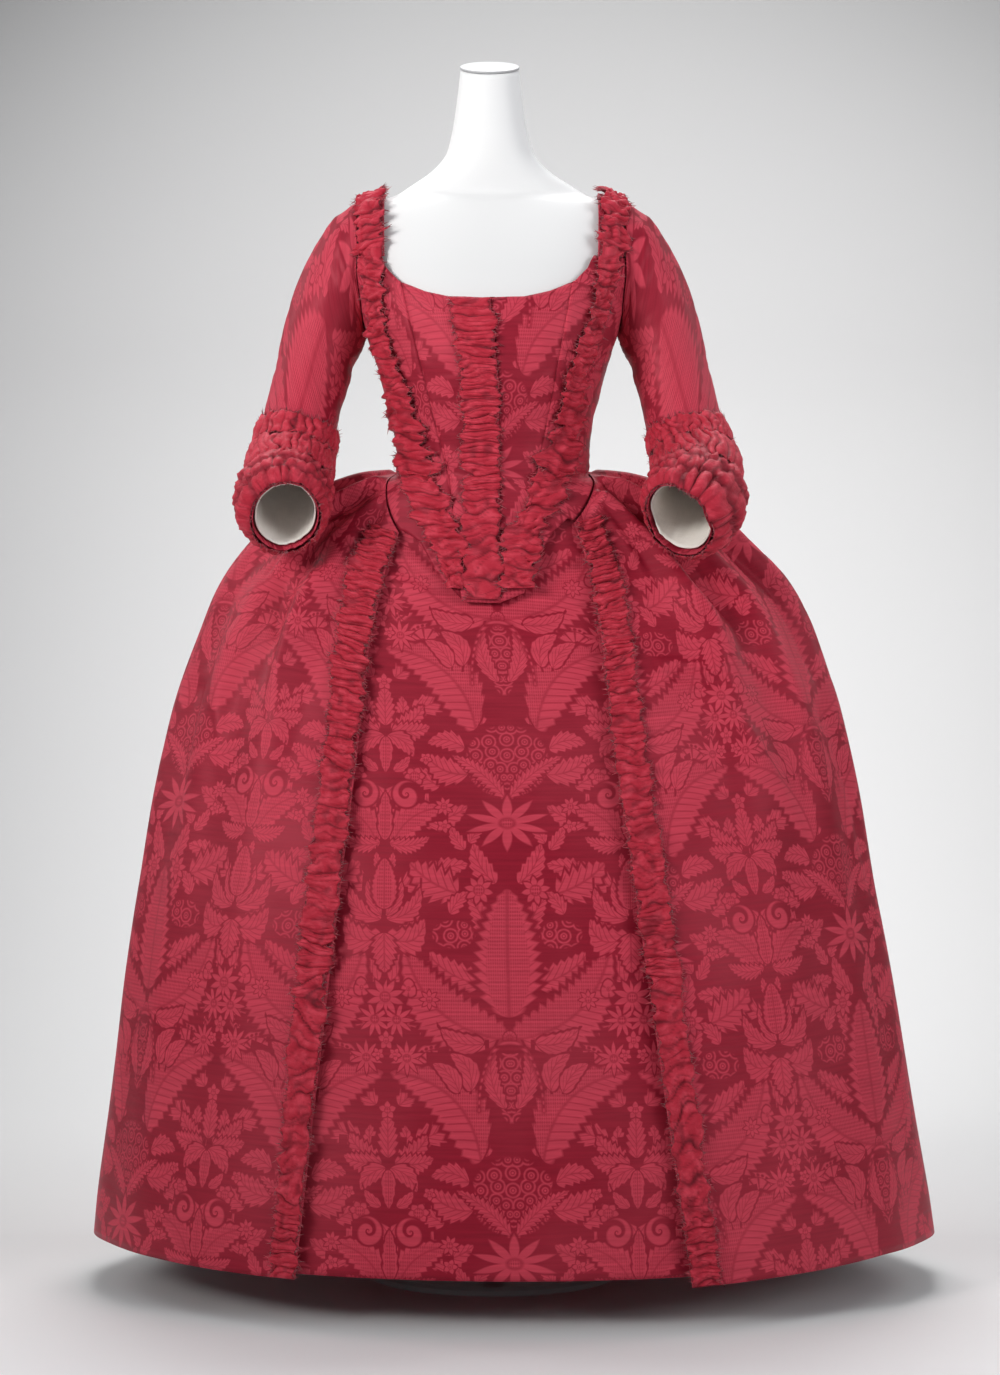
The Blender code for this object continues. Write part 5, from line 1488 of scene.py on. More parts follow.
# Blooms: x, y, both radii, petals, bite, heart and turn
MAIN_BLOOMS = (
    (0, 0, 52, 36, 10, 0.62, 0.16, 0.0),
    (131, 276, 22, 22, 10, 0.62, 0.20, 0.3),
    (120, 232, 21, 21, 10, 0.62, 0.20, 0.0),
    (33, 428, 18, 18, 8, 0.42, 0.34, 0.2),
    (0, 257, 8, 8, 12, 0.05, 0.45, 0.0),
    (116, 312, 10, 12, 3, 0.20, 0.20, 1.5),
    (74, -4, 9, 9, 5, 0.40, 0.30, 0.0),
)
SECOND_BLOOMS = (
    (35, 56, 13, 12, 6, 0.25, 0.45, 0.4),
    (48, 78, 8, 8, 5, 0.35, 0.40, 0.9),
    (0, 172, 11, 11, 5, 0.40, 0.32, 1.57),
    (0, 252, 10, 12, 5, 0.40, 0.30, 1.57),
    (10, 236, 8, 8, 5, 0.40, 0.30, 0.8),
    (0, 302, 24, 23, 9, 0.50, 0.24, 0.0),
    (52, 300, 12, 12, 8, 0.45, 0.30, 0.4),
    (70, 20, 12, 12, 8, 0.45, 0.30, 0.2),
)
# Fans: x, y, both radii, petals and pearls
FANS = (
    (100, 268, 32, 27, 9, 24),
    (90, 224, 30, 25, 9, 24),
    (56, 262, 24, 20, 9, 22),
)
# The rest: x, y and both radii
POSIES = (
    (0, 76, 50, 46),
    (0, 204, 17, 46),
    (62, 376, 26, 17),
)
FAN_TURN = -38
PEARLED_RING = (0, 172, 40, 86)
SCROLL = (25, 34, 17, 17)
LEAF, BLOOM, FAN, COIL, POSY, PEARLS = range(1, 7)
MOTIF_LAYERS = ("top", "under", "lowest")     # a face carries this many motifs


def motif_rows():
    """Every motif with its place, its sizes and the numbers that its group needs, lowest first."""
    rows = [(POSY, "main", x, y, 0, *size, (0, 0, 0), (0, 0)) for x, y, *size in POSIES]
    rows += [(FAN, "main", x, y, FAN_TURN, width, height, (petals, 0, 0), (pearls, 0))
             for x, y, width, height, petals, pearls in FANS]
    tables = (("main", UNDER_MAIN_LEAVES, ()), ("second", UNDER_SECOND_LEAVES, ()),
              ("main", MAIN_LEAVES, MAIN_BLOOMS), ("main", (CENTRE_LEAF,), ()),
              ("second", SECOND_LEAVES, ()), ("second", SECOND_CENTRE_LEAVES, SECOND_BLOOMS))
    for axis, leaves, blooms in tables:
        for x, y, angle, length, half_width, bend, teeth, bite, veins, *lace in leaves:
            half, heart = lace or (0, 0)
            rows.append((LEAF, axis, x, y, angle, length, half_width, (teeth, bite, 4 * bend),
                         (veins, half - heart)))
        for x, y, radius_x, radius_y, petals, bite, heart, turn in blooms:
            rows.append((BLOOM, axis, x, y, 0, radius_x, radius_y, (petals, bite, turn), (heart, 0)))
        if leaves is MAIN_LEAVES:
            rows.append((PEARLS, "main", *PEARLED_RING[:2], 0, *PEARLED_RING[2:], (0, 0, 0), (0, 0)))
    rows.append((COIL, "second", *SCROLL[:2], 0, *SCROLL[2:], (0, 0, 0), (0, 0)))
    return rows_of(("kind", "axis", "x", "y", "angle", "size_x", "size_y", "cut", "fill"), rows)


def own_place(motif, across, up):
    """A place on the cloth in the motif's own coordinates."""
    angle = math.radians(motif["angle"])
    c, s = math.cos(angle), math.sin(angle)
    x, y = across - motif["x"] / 1000, up - motif["y"] / 1000
    return (c * x + s * y) * 1000 / motif["size_x"], (c * y - s * x) * 1000 / motif["size_y"]


def leaf_half_width(x):
    """A leaf's arch and its half width at a share of its length."""
    arch = np.clip(x * (1 - x), 0.0, 1.0)
    return arch, (4 * arch) ** 0.55 * (1.25 - 0.55 * x)


def covers(motif, x, y, reach):
    """True where a face with this middle and this reach may touch the motif."""
    near_x, near_y = reach * 1000 / motif["size_x"], reach * 1000 / motif["size_y"]
    if motif["kind"] != LEAF:
        return np.hypot(x, y) < 1.08 + np.maximum(near_x, near_y)
    bend = motif["cut"][2]
    arch, half = leaf_half_width(x)
    margin = near_y + (abs(bend) + 1.5) * near_x + 0.1
    return (x > -near_x) & (x < 1 + near_x) & (np.abs(y + bend * arch) < half + margin)


def inside_cover(motif, x, y):
    """True for places within the motif or the ground that it covers."""
    r = np.hypot(x, y)
    if motif["kind"] == PEARLS:
        return (np.abs(r - 0.93) < 0.17) & (y > -0.15)
    if motif["kind"] != LEAF:
        return r < 1.16
    arch, half = leaf_half_width(x)
    return (x > -0.05) & (x < 1.05) & (np.abs(y + motif["cut"][2] * arch) < half + 0.30)


def lay_damask(mesh):
    """Stores on each face the topmost motifs that touch it and the corners' places in them."""
    faces, loops = len(mesh.polygons), len(mesh.loops)
    starts, totals = np.empty(faces, np.int32), np.empty(faces, np.int32)
    mesh.polygons.foreach_get("loop_start", starts)
    mesh.polygons.foreach_get("loop_total", totals)
    flat = np.empty(loops * 2, np.float32)
    mesh.uv_layers["cloth"].data.foreach_get("uv", flat)
    cloth = flat.reshape(-1, 2).astype(float)
    face = np.repeat(np.arange(faces), totals)
    middle = np.add.reduceat(cloth, starts) / totals[:, None]
    reach = np.maximum.reduceat(np.hypot(*(cloth - middle[face]).T), starts)

    grids = {}
    for axis, shift, foot in (("main", 0.0, MAIN_FOOT), ("second", CELL_HALF_WIDTH, SECOND_FOOT)):
        column = np.round((middle[:, 0] - shift) / (2 * CELL_HALF_WIDTH)) * 2 * CELL_HALF_WIDTH + shift
        row = np.floor((middle[:, 1] - foot) / CELL_HEIGHT) * CELL_HEIGHT
        hand = np.where(middle[:, 0] < column, -1.0, 1.0)
        grids[axis] = (np.abs(middle[:, 0] - column), middle[:, 1] - row,
                       hand[face] * (cloth[:, 0] - column[face]), cloth[:, 1] - row[face])

    count = len(MOTIF_LAYERS)
    place = np.full((count, loops, 2), 9.0)
    cut, fill = np.zeros((count, faces, 3)), np.zeros((count, faces, 3))
    for motif in motif_rows():
        across, up, corner_across, corner_up = grids[motif["axis"]]
        for turn in (-CELL_HEIGHT, 0.0, CELL_HEIGHT):
            x, y = own_place(motif, across, up + turn)
            hit = covers(motif, x, y, reach)
            corner_hit = np.flatnonzero(hit[face])
            corner_x, corner_y = own_place(
                motif, corner_across[corner_hit], corner_up[corner_hit] + turn)
            touched = np.bincount(face[corner_hit], inside_cover(motif, corner_x, corner_y), faces) > 0
            hit &= touched | inside_cover(motif, x, y)
            kept = hit[face[corner_hit]]
            new_place = np.stack((corner_x[kept], corner_y[kept]), axis=-1)
            for values, where, new in ((place, corner_hit[kept], new_place),
                                       (cut, hit, motif["cut"]),
                                       (fill, hit, (*motif["fill"], motif["kind"]))):
                for i in range(count - 1, 0, -1):
                    values[i][where] = values[i - 1][where]
                values[0][where] = new
    for i, end in enumerate(MOTIF_LAYERS):
        layer = mesh.uv_layers.new(name="motif_" + end)
        layer.data.foreach_set("uv", place[i].reshape(-1).astype(np.float32))
        for name, values in (("cut_", cut), ("fill_", fill)):
            stored = mesh.attributes.new(name + end, "FLOAT_VECTOR", "FACE")
            stored.data.foreach_set("vector", values[i].reshape(-1).astype(np.float32))
    mesh.uv_layers.active = mesh.uv_layers["cloth"]


def motif_group():
    """Draws whichever motif the face carries: its figure and the ground that it covers."""
    tree, given, sink = new_group("Damask motif", {
        "Place": None, "Cut": None, "Fill": None, "Mesh": 0.0, "Posy": 0.0, "Beads": 0.0}, DRAWN)
    x, y, _ = split(tree, given["Place"].socket)
    teeth, bite, bend = split(tree, given["Cut"].socket)
    veins, lace, kind = split(tree, given["Fill"].socket)
    here = {"X": x, "Y": y}
    r = (x * x + y * y).op("SQRT")
    drawn = (
        (LEAF, use_group(tree, shared(leaf_group), {
            **here, "Mesh": given["Mesh"], "Bend": bend, "Teeth": teeth, "Bite": bite, "Veins": veins,
            "Lace half": lace.sharpen(1.0), "Lace heart": (lace * -1.0).sharpen(1.0)})),
        (BLOOM, use_group(tree, shared(bloom_group), {
            **here, "Mesh": given["Mesh"], "Petals": teeth, "Bite": bite, "Heart": veins,
            "Turn": bend})),
        (FAN, use_group(tree, shared(fan_group), {**here, "Petals": teeth, "Pearls": veins})),
        (COIL, use_group(tree, shared(scroll_group), here)),
    )
    figure = cover = None
    for number, outputs in drawn:
        chosen = kind.op("COMPARE", number, 0.1)
        new, hidden = (output * chosen for output in outputs)
        figure = new if figure is None else figure + new
        cover = hidden if cover is None else cover + hidden
    chosen = kind.op("COMPARE", POSY, 0.1)
    figure = figure + r.flip().sharpen(14.0) * given["Posy"] * chosen
    band = ((r - 0.93).size() * 26.0 - 0.15).sharpen(1.0).flip()
    chosen = kind.op("COMPARE", PEARLS, 0.1) * (y * 30.0 + 1.0).sharpen(1.0)
    figure = figure + band * given["Beads"] * chosen
    cover = cover + ((r - 0.93).size() * 8.0).sharpen(1.0).flip() * chosen
    return put_out(tree, sink, Figure=figure, Cover=cover)


def damask_group():
    """The woven figure: 1 where the pale satin shows and 0 on the deep ground."""
    names = ["Cloth"] + [name + " " + end for end in MOTIF_LAYERS for name in ("Place", "Cut", "Fill")]
    tree, given, sink = new_group("Damask", dict.fromkeys(names), ("Figure",))
    u, v, _ = split(tree, given["Cloth"].socket)
    lace = 2 * math.pi / 0.0052
    mesh = ((u + v * 0.6) * lace).op("SINE") * ((u - v * 0.6) * lace).op("SINE")
    mesh = (mesh * 1.8 + 0.25).sharpen(1.0)
    up = v.op("WRAP", MAIN_FOOT + CELL_HEIGHT, MAIN_FOOT)
    beads = ((up * (1 / 0.0085)).op("PINGPONG", 0.5) * 4.0 - 0.5).sharpen(1.0)

    # The baskets of small flowers are cut from one field of cells, mirrored as the rest is
    folded = add_node(tree, "ShaderNodeCombineXYZ", {0: u.op("PINGPONG", CELL_HALF_WIDTH), 1: up})
    cells = add_node(tree, "ShaderNodeTexVoronoi", {
        "Vector": folded.outputs[0], "Scale": 62.0, "Randomness": 0.55}, voronoi_dimensions="2D")
    near = Value(tree, cells.outputs["Distance"])
    posy = ((near - 0.34).size() * 9.0 - 0.35).sharpen(1.0) * ((near - 0.12).size() * 14.0).sharpen(1.0)
    posy = posy * (near * -9.0 + 5.4).sharpen(1.0)

    figure = None
    for end in reversed(MOTIF_LAYERS):
        drawn, cover = use_group(tree, shared(motif_group), {
            **{name: given[name + " " + end] for name in ("Place", "Cut", "Fill")},
            "Mesh": mesh, "Posy": posy, "Beads": beads})
        figure = drawn if figure is None else (figure * cover.flip()).op("MAXIMUM", drawn)
    return put_out(tree, sink, Figure=figure)


# Finishes

def grey_value(tree, value):
    return add_node(tree, "ShaderNodeCombineColor", {0: value, 1: value, 2: value}).outputs[0]


def silk_damask_finish():
    """Crimson silk damask: a deep satin ground, a paler figure and fine ribs."""
    sizes = bpy.context.scene.gown_sizes
    made, tree, shader = new_finish(
        "silk_damask", 0.55, Sheen_Weight=0.10, Sheen_Roughness=0.4,
        Sheen_Tint=(1.0, 0.30, 0.35, 1.0), Specular_IOR_Level=0.55,
        Specular_Tint=(1.0, 0.24, 0.30, 1.0))
    cloth = uv_vector(tree)
    links = {"Cloth": cloth}
    for end in MOTIF_LAYERS:
        links["Place " + end] = uv_vector(tree, "motif_" + end)
        links["Cut " + end] = attribute(tree, "cut_" + end, "Vector")
        links["Fill " + end] = attribute(tree, "fill_" + end, "Vector")
    figure, = use_group(tree, shared(damask_group), links)
    height, streak = use_group(tree, shared(silk_threads_group), {"Vector": cloth})
    tone = colour_mix(tree, figure, tuple(sizes.ground_colour), tuple(sizes.figure_colour))
    fade = (noise_value(tree, object_vector(tree), 5.0) - 0.42) * 1.6
    tone = colour_mix(tree, fade.sharpen(0.30), tone, (0.56, 0.10, 0.13))
    line = (streak - 0.5) * 0.55 + 0.97
    tone = colour_mix(tree, 1.0, tone, grey_value(tree, line), "MULTIPLY")
    rough = figure * (sizes.figure_roughness - sizes.ground_roughness) + sizes.ground_roughness
    soft = noise_value(tree, cloth, (14.0, 55.0, 1.0))
    dress(tree, shader, tone, ((soft, 0.0020, 0.5), (height, 0.00022, 0.55)),
          rough + (streak - 0.5) * 0.12)
    return made


def ruche_silk_finish():
    """The same silk gathered: broken figure, painted shade in the creases and fraying threads."""
    sizes = bpy.context.scene.gown_sizes
    made, tree, shader = new_finish(
        "silk_ruche", 0.58, Sheen_Weight=0.15, Sheen_Roughness=0.4,
        Sheen_Tint=(1.0, 0.35, 0.40, 1.0), Specular_IOR_Level=0.45,
        Specular_Tint=(1.0, 0.30, 0.36, 1.0))
    cloth = uv_vector(tree)
    patches = noise_value(tree, cloth, (55.0, 70.0, 1.0), 4.0, 0.6)
    tone = colour_mix(tree, ((patches - 0.46) * 5.0).sharpen(1.0), tuple(sizes.ruche_shade),
                      tuple(sizes.ruche_colour))
    specks = noise_value(tree, cloth, 900.0, 2.0, 0.6)
    worn = ((specks - 0.60) * 7.0).sharpen(1.0)
    tone = colour_mix(tree, worn * 0.35, tone, (0.10, 0.006, 0.012))
    pale = ((specks * -1.0 + 0.30) * 9.0).sharpen(1.0)
    tone = colour_mix(tree, pale * 0.4, tone, (0.72, 0.22, 0.26))
    # Painted shade: the crease mask darkens the creases nearly to black.
    crease = Value(tree, attribute(tree, "crease", "Fac"))
    tone = colour_mix(tree, crease * 0.85, tone, (0.045, 0.003, 0.006))
    height, _ = use_group(tree, shared(silk_threads_group), {"Vector": cloth})
    crumples = noise_value(tree, cloth, (130.0, 330.0, 1.0), 4.0, 0.6)
    dress(tree, shader, tone, ((crumples, 0.0016, 0.8), (height, 0.0003, 0.6)))
    return made


def fray_finish():
    """Loose silk threads, some faded."""
    made, tree, shader = new_finish("silk_threads", 0.6, Sheen_Weight=0.3)
    mottle = noise_value(tree, object_vector(tree), 160.0, 2.0)
    dress(tree, shader, colour_mix(tree, ((mottle - 0.42) * 4.0).sharpen(1.0), (0.16, 0.010, 0.020),
                                   (0.46, 0.034, 0.055)))
    return made


def linen_finish():
    """Unbleached linen, plain weave, a little soiled."""
    made, tree, shader = new_finish("linen_lining", 0.85, Sheen_Weight=0.2)
    cloth = uv_vector(tree)
    warp = noise_value(tree, cloth, (1500.0, 40.0, 1.0), 1.0)
    weft = noise_value(tree, cloth, (40.0, 1500.0, 1.0), 1.0)
    weave = warp * 0.5 + weft * 0.5
    soil = noise_value(tree, cloth, 18.0, 4.0)
    tone = colour_mix(tree, ((soil - 0.35) * 2.2).sharpen(1.0), (0.72, 0.67, 0.61), (0.86, 0.82, 0.76))
    tone = colour_mix(tree, 1.0, tone, grey_value(tree, weave * 0.3 + 0.85), "MULTIPLY")
    dress(tree, shader, tone, ((noise_value(tree, cloth, 60.0), 0.0015, 0.6), (weave, 0.0003, 0.6)))
    return made


def form_finish():
    """Matt white paint over moulded board, faintly mottled, with painted light: darker below the neck
    than on it.
    """
    white = bpy.context.scene.gown_sizes.form_colour
    made, tree, shader = new_finish("form_white", 0.5, Specular_IOR_Level=0.25)
    place = object_vector(tree)
    mottle = noise_value(tree, place, 9.0, 4.0)
    # Painted light: the torso below the neck is painted 12% darker than the neck, to even out the light
    # that falls on chest and neck.
    neck = ((split(tree, place)[2] - 1.24) * 6.0).sharpen(1.0)
    tone = colour_mix(tree, neck, tuple(c * 0.88 for c in white), tuple(white))
    tone = colour_mix(tree, mottle * 0.03, tone, (0.5, 0.5, 0.5))
    dress(tree, shader, tone, ((noise_value(tree, place, 420.0, 2.0), 0.0002, 0.35),),
          mottle * 0.12 + 0.44)
    return made


def cap_finish():
    """Grey lacquered cap with a fine brushed grain."""
    made, tree, shader = new_finish("cap_grey", 0.4)
    grain = noise_value(tree, object_vector(tree), (40.0, 900.0, 40.0), 2.0)
    tone = colour_mix(tree, grain, (0.34, 0.34, 0.35), (0.46, 0.46, 0.47))
    dress(tree, shader, tone, ((grain, 0.0001, 0.3),), grain * 0.2 + 0.32)
    return made


def steel_finish():
    """Pale powder-coated steel of the pole and the base."""
    made, tree, shader = new_finish("stand_steel", 0.5, Metallic=0.0)
    place = object_vector(tree)
    dust = noise_value(tree, place, 12.0)
    tone = colour_mix(tree, dust, (0.26, 0.26, 0.26), (0.34, 0.335, 0.33))
    dress(tree, shader, tone, ((noise_value(tree, place, 700.0, 2.0), 0.0002, 0.4),), dust * 0.2 + 0.4)
    return made


def stage_finish():
    """Pale paint with painted light, brightest behind the gown and paler on the floor in front, that
    doesn't hide the gown from behind.
    """
    made, tree, shader = new_finish("stage_grey", 0.85, Specular_IOR_Level=0.2)
    place = object_vector(tree)
    x, y, z = split(tree, place)
    # Painted light: the paint falls off to the sides and above 1 m, and the floor is painted paler from
    # just behind the gown forwards.
    across, high = x - 0.12, (z - 1.0).op("MAXIMUM", 0.0)
    near = (y * -1.1 + 0.30).sharpen(1.0)
    fade = ((across * across * -0.24) + (high * high * -0.36)).op("MAXIMUM", -0.75)
    paint = fade * 0.60 + noise_value(tree, place, 0.7, 2.0) * 0.03
    dress(tree, shader, grey_value(tree, paint + near * 0.38 + 0.62))
    either = add_node(tree, "ShaderNodeMixShader", {
        0: add_node(tree, "ShaderNodeNewGeometry").outputs["Backfacing"],
        1: shader.outputs[0], 2: add_node(tree, "ShaderNodeBsdfTransparent").outputs[0]})
    tree.links.new(either.outputs[0], tree.nodes["Material Output"].inputs["Surface"])
    return made


FINISH_MAKERS = {
    "silk_damask": silk_damask_finish, "silk_ruche": ruche_silk_finish, "silk_threads": fray_finish,
    "linen_lining": linen_finish, "form_white": form_finish, "cap_grey": cap_finish,
    "stand_steel": steel_finish, "stage_grey": stage_finish,
}


# Frayed edges: short threads along every edge of the ruches and cuffs

def edge_path_mesh():
    """All kept edges as one mesh of loose lines, each point with the way its threads lean."""
    points, away, links, count = [], [], [], 0
    for line, lean in EDGE_LINES:
        points.append(line)
        away.append(lean)
        links += [(count + i, count + i + 1) for i in range(len(line) - 1)]
        count += len(line)
    mesh = bpy.data.meshes.new("edge_lines")
    mesh.from_pydata(np.concatenate(points).tolist(), links, [])
    lean = mesh.attributes.new("lean", "FLOAT_VECTOR", "POINT")
    lean.data.foreach_set("vector", np.concatenate(away).reshape(-1).astype(np.float32))
    return mesh


THREAD_TIP = 0.00008        # radius at a thread's end


def fray_tree(threads):
    """Geometry nodes that stand tapered threads along the lines."""
    tree = bpy.data.node_groups.new("Frayed edge", "GeometryNodeTree")
    face = tree.interface
    face.new_socket("Geometry", in_out="INPUT", socket_type="NodeSocketGeometry")
    for label, kind, default in (("Spacing", "Float", 0.0013), ("Length", "Float", 0.0042),
                                 ("Thickness", "Float", 0.00075), ("Spread", "Float", 0.9),
                                 ("Seed", "Int", 7)):
        face.new_socket(label, in_out="INPUT", socket_type="NodeSocket" + kind).default_value = default
    face.new_socket("Geometry", in_out="OUTPUT", socket_type="NodeSocketGeometry")

    def add(kind, inputs=None, **settings):
        return add_node(tree, kind, inputs, **settings).outputs

    def chance(low, high, offset, vector=False):
        """A random number or vector for each thread."""
        seed = add("ShaderNodeMath", {0: given["Seed"], 1: offset})[0]
        first = 0 if vector else 2
        drawn = add("FunctionNodeRandomValue", {first: low, first + 1: high, "Seed": seed},
                    data_type="FLOAT_VECTOR" if vector else "FLOAT")
        return drawn[0 if vector else 1]

    given = add("NodeGroupInput")
    curves = add("GeometryNodeMeshToCurve", {"Mesh": given["Geometry"]})
    even = add("GeometryNodeResampleCurve", {"Curve": curves[0], "Length": given["Spacing"]},
               mode="LENGTH")
    lean = add("GeometryNodeInputNamedAttribute", {"Name": "lean"}, data_type="FLOAT_VECTOR")
    loose = add("ShaderNodeVectorMath", {0: chance((-1, -1, -1), (1, 1, 1), 1, True),
                                         "Scale": given["Spread"]}, operation="SCALE")
    way = add("ShaderNodeVectorMath", {0: lean["Attribute"], 1: loose[0]})
    turn = add("FunctionNodeAlignRotationToVector", {"Vector": way[0]}, axis="Z")
    thread = add("GeometryNodeMeshCone", {
        "Vertices": 3, "Radius Top": THREAD_TIP, "Radius Bottom": given["Thickness"],
        "Depth": given["Length"]})
    stand = add("GeometryNodeInstanceOnPoints", {
        "Points": even[0], "Instance": thread["Mesh"], "Rotation": turn[0],
        "Scale": chance(0.25, 1.25, 2)})
    real = add("GeometryNodeRealizeInstances", {0: stand[0]})
    dyed = add("GeometryNodeSetMaterial", {"Geometry": real[0], "Material": threads})
    add("NodeGroupOutput", {0: dyed[0]})
    return tree


def make_frayed_edges():
    sizes = bpy.context.scene.gown_sizes
    source = bpy.data.objects.new("frayed_edges", edge_path_mesh())
    bpy.context.scene.collection.objects.link(source)
    tree = fray_tree(finish("silk_threads"))
    modifier = source.modifiers.new("Frayed edge", "NODES")
    modifier.node_group = tree
    sockets = {s.name: s.identifier for s in tree.interface.items_tree if s.in_out == "INPUT"}
    modifier[sockets["Spacing"]] = sizes.thread_spacing
    modifier[sockets["Length"]] = sizes.thread_length
    bpy.context.view_layer.update()
    seen = source.evaluated_get(bpy.context.evaluated_depsgraph_get())
    mesh = bpy.data.meshes.new_from_object(seen)
    mesh.name = "frayed_edges"
    bpy.data.objects.remove(source)
    piece = bpy.data.objects.new("frayed_edges", mesh)
    bpy.context.scene.collection.objects.link(piece)
    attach(piece, "root")


# Stage, lights and camera

STAGE_DEPTH = 1.6
STAGE_BEND = 1.3
STAGE_REACH = 9.0


def make_stage():
    """A pale floor that curves up into a backdrop."""
    bend = np.linspace(0.0, math.pi / 2, 24)
    depth = STAGE_DEPTH + STAGE_BEND * np.sin(bend)
    rise = STAGE_BEND - STAGE_BEND * np.cos(bend)
    profile = np.concatenate((np.array([[-STAGE_REACH, 0.0], [0.0, 0.0]]), stacked(depth, rise),
                              np.array([[STAGE_DEPTH + STAGE_BEND, STAGE_REACH]])))
    across = np.linspace(-STAGE_REACH, STAGE_REACH, 3)
    points = stacked(across[None, :], profile[:, :1], profile[:, 1:])
    mesh = grid_mesh("stage", points)
    mesh.flip_normals()
    add_piece("stage_floor", mesh, "stage_grey")


LIGHTS = rows_of(("name", "place", "aim", "size", "spread", "power", "colour"), (
    ("key_left", (-2.9, -2.85, 2.45), (-0.05, 0.0, 1.46), 1.5, 52.0, 15.6, (1.0, 0.99, 0.975)),
    ("fill_right", (3.3, -2.65, 2.25), (0.1, 0.0, 1.38), 2.2, 58.0, 11.8, (0.98, 0.985, 1.0)),
    ("top_soft", (0.0, 1.6, 3.8), (0.0, -0.6, 0.0), 2.0, 180.0, 106.0, (1.0, 1.0, 1.0)),
    ("backdrop_left", (-2.4, 1.0, 2.2), (-1.0, 2.9, 1.0), 1.4, 180.0, 33.0, (1.0, 1.0, 1.0)),
    ("backdrop_right", (2.4, 1.0, 2.2), (1.0, 2.9, 1.0), 1.4, 180.0, 30.0, (1.0, 1.0, 1.0)),
))


WORLD_COLOUR = (0.93, 0.95, 1.0, 1.0)
WORLD_STRENGTH = 0.32


def make_lights():
    for light in LIGHTS:
        data = bpy.data.lights.new(light["name"], "AREA")
        data.shape = "RECTANGLE"
        data.size = data.size_y = light["size"]
        data.spread = math.radians(light["spread"])
        data.energy = light["power"]
        data.color = light["colour"]
        lamp = bpy.data.objects.new(light["name"], data)
        lamp.location = light["place"]
        aim = Vector(light["aim"]) - Vector(light["place"])
        lamp.rotation_euler = aim.to_track_quat("-Z", "Y").to_euler()
        bpy.context.scene.collection.objects.link(lamp)
    world = bpy.data.worlds.new("studio")
    world.use_nodes = True
    background = world.node_tree.nodes["Background"]
    background.inputs["Color"].default_value = WORLD_COLOUR
    background.inputs["Strength"].default_value = WORLD_STRENGTH
    bpy.context.scene.world = world


CAMERA_PLACE = (-0.0174, -4.75, 0.883)
CAMERA_LENS = 100.27
CAMERA_SHIFT = -0.0905


def make_camera():
    data = bpy.data.cameras.new("camera")
    data.sensor_width = 36.0
    data.lens = CAMERA_LENS
    data.shift_y = CAMERA_SHIFT
    data.clip_end = 40.0
    camera = bpy.data.objects.new("camera", data)
    camera.location = CAMERA_PLACE
    camera.rotation_euler = (math.pi / 2, 0.0, 0.0)
    bpy.context.scene.collection.objects.link(camera)
    bpy.context.scene.camera = camera
    bpy.context.scene.view_settings.view_transform = "Standard"


# Properties and operators

class GownSizes(bpy.types.PropertyGroup):
    ground_colour: bpy.props.FloatVectorProperty(
        name="Ground", description="Deep colour of the damask's ground", subtype="COLOR",
        size=3, min=0.0, max=1.0, default=(0.225, 0.006, 0.019))
    figure_colour: bpy.props.FloatVectorProperty(
        name="Figure", description="Paler colour of the woven figure", subtype="COLOR",
        size=3, min=0.0, max=1.0, default=(0.480, 0.040, 0.068))
    ruche_colour: bpy.props.FloatVectorProperty(
        name="Ruche", description="Colour of the gathered trims", subtype="COLOR",
        size=3, min=0.0, max=1.0, default=(0.550, 0.047, 0.075))
    ruche_shade: bpy.props.FloatVectorProperty(
        name="Ruche ground", description="Darker patches of the gathered trims", subtype="COLOR",
        size=3, min=0.0, max=1.0, default=(0.400, 0.020, 0.038))
    form_colour: bpy.props.FloatVectorProperty(
        name="Form", description="Paint of the dress form", subtype="COLOR",
        size=3, min=0.0, max=1.0, default=(0.79, 0.79, 0.79))
    ground_roughness: bpy.props.FloatProperty(
        name="Ground roughness", description="How matt the damask's ground is",
        min=0.1, max=1.0, default=0.50)
    figure_roughness: bpy.props.FloatProperty(
        name="Figure roughness", description="How matt the woven figure is",
        min=0.1, max=1.0, default=0.62)
    thread_spacing: bpy.props.FloatProperty(
        name="Thread spacing", description="Distance between frayed threads along an edge",
        subtype="DISTANCE", unit="LENGTH", min=0.0005, max=0.01, default=0.0020)
    thread_length: bpy.props.FloatProperty(
        name="Thread length", description="Length of the longest frayed threads",
        subtype="DISTANCE", unit="LENGTH", min=0.001, max=0.02, default=0.0075)


class GOWN_OT_dress_form(bpy.types.Operator):
    """White torso and neck with its grey cap, and the steel stand"""
    bl_idname = "gown.dress_form"
    bl_label = "Dress form"

    def execute(self, context):
        make_white_form()
        make_grey_cap()
        for name in ("stand_pole", "stand_base"):
            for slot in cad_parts[name].material_slots:
                slot.material = finish("stand_steel")
        return {"FINISHED"}


class GOWN_OT_petticoat(bpy.types.Operator):
    """Petticoat, seen in the gown's front opening"""
    bl_idname = "gown.petticoat"
    bl_label = "Petticoat"

    def execute(self, context):
        make_silk_petticoat()
        return {"FINISHED"}


class GOWN_OT_gown_skirt(bpy.types.Operator):
    """Both halves of the gown's skirt, with their pleats and folds"""
    bl_idname = "gown.gown_skirt"
    bl_label = "Gown skirt"

    def execute(self, context):
        for side in SIDES:
            make_gown_half(side)
        return {"FINISHED"}


class GOWN_OT_bodice(bpy.types.Operator):
    """Six bodice panels and two shoulder straps"""
    bl_idname = "gown.bodice"
    bl_label = "Bodice"

    def execute(self, context):
        make_silk_bodice()
        for side in SIDES:
            make_silk_strap(side)
        return {"FINISHED"}


class GOWN_OT_sleeves(bpy.types.Operator):
    """Elbow sleeves with their linen linings"""
    bl_idname = "gown.sleeves"
    bl_label = "Sleeves"

    def execute(self, context):
        for side in SIDES:
            make_silk_sleeve(side)
            make_linen_lining(side)
        return {"FINISHED"}


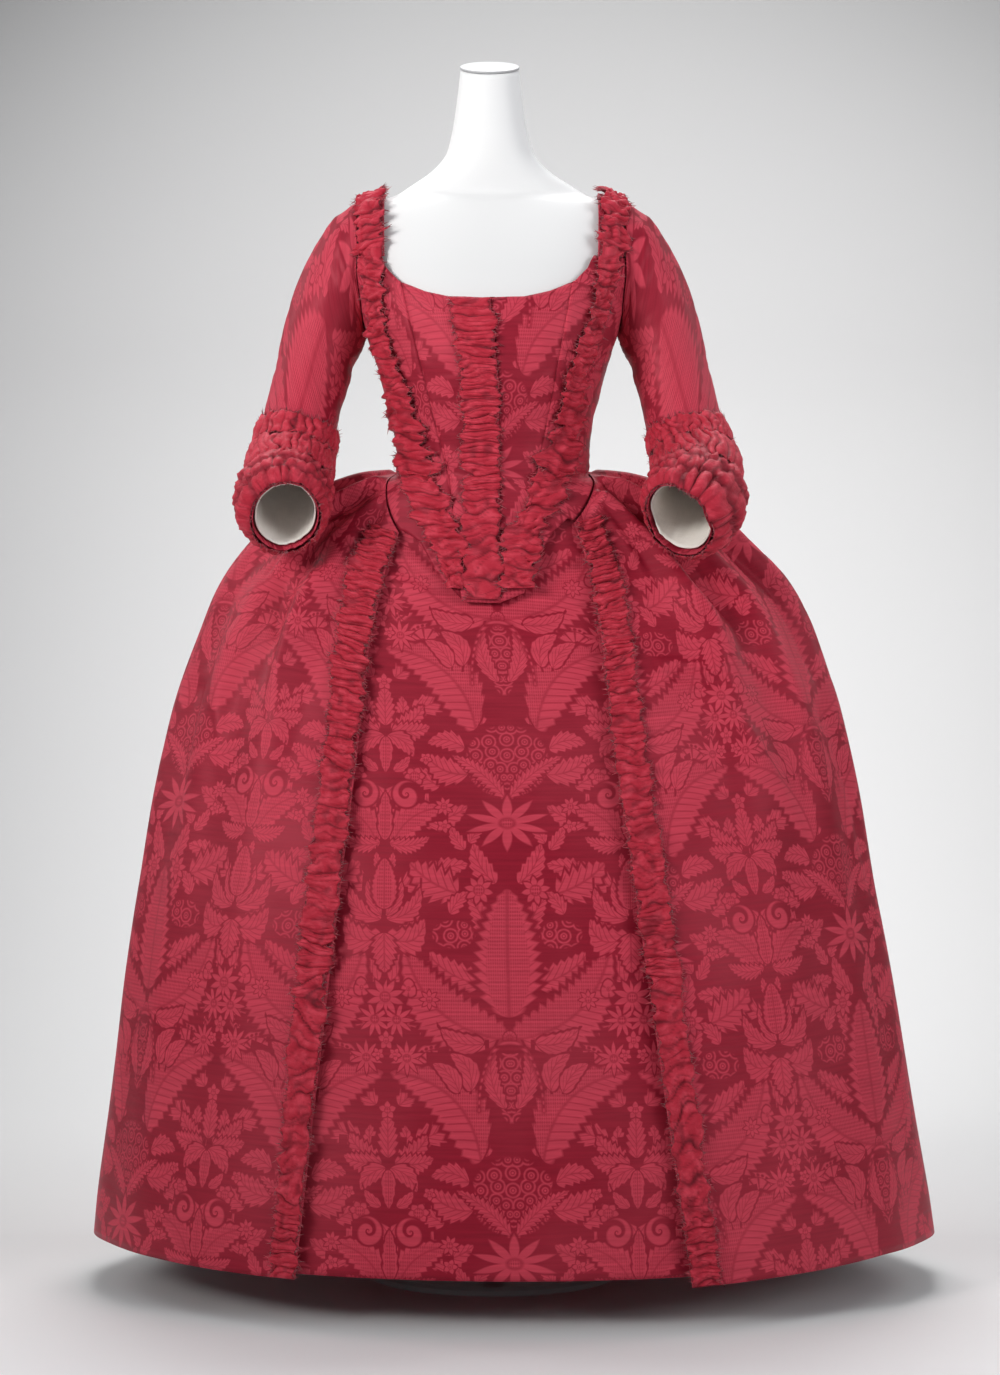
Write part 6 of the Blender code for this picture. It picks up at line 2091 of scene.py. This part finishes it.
class GOWN_OT_cuffs(bpy.types.Operator):
    """Three gathered bands round the end of each sleeve"""
    bl_idname = "gown.cuffs"
    bl_label = "Cuffs"

    def execute(self, context):
        for side in SIDES:
            for row in CUFFS:
                make_silk_cuff(side, *row)
        return {"FINISHED"}


class GOWN_OT_ruches(bpy.types.Operator):
    """Gathered trims of the front closing, the robings and the skirt's front edges"""
    bl_idname = "gown.ruches"
    bl_label = "Ruches"

    def execute(self, context):
        make_silk_centre_ruche()
        for side in SIDES:
            make_silk_robing(side)
            make_silk_skirt_ruche(side)
        return {"FINISHED"}


class GOWN_OT_frayed_edges(bpy.types.Operator):
    """Loose threads along the edges of the ruches and cuffs"""
    bl_idname = "gown.frayed_edges"
    bl_label = "Frayed edges"

    def execute(self, context):
        make_frayed_edges()
        return {"FINISHED"}


class GOWN_OT_stage(bpy.types.Operator):
    """Pale floor and backdrop, lights and camera"""
    bl_idname = "gown.stage"
    bl_label = "Stage"

    def execute(self, context):
        make_stage()
        make_lights()
        make_camera()
        return {"FINISHED"}


class GOWN_PT_panel(bpy.types.Panel):
    """The gown's sizes, colours and pieces"""
    bl_idname = "GOWN_PT_panel"
    bl_label = "Gown"
    bl_space_type = "VIEW_3D"
    bl_region_type = "UI"
    bl_category = "Gown"

    def draw(self, context):
        sizes = context.scene.gown_sizes
        for label in sizes.__annotations__:
            self.layout.prop(sizes, label)
        for step in OPERATORS:
            self.layout.operator(step.bl_idname)


OPERATORS = (GOWN_OT_dress_form, GOWN_OT_petticoat, GOWN_OT_gown_skirt, GOWN_OT_bodice,
             GOWN_OT_sleeves, GOWN_OT_cuffs, GOWN_OT_ruches, GOWN_OT_frayed_edges, GOWN_OT_stage)
CLASSES = (GownSizes, *OPERATORS, GOWN_PT_panel)


def register():
    for made in CLASSES:
        bpy.utils.register_class(made)
    bpy.types.Scene.gown_sizes = bpy.props.PointerProperty(type=GownSizes)


def unregister():
    del bpy.types.Scene.gown_sizes
    for made in reversed(CLASSES):
        bpy.utils.unregister_class(made)


def main():
    register()
    for step in OPERATORS:
        group, name = step.bl_idname.split(".")
        getattr(getattr(bpy.ops, group), name)()


if __name__ == "__main__":
    main()
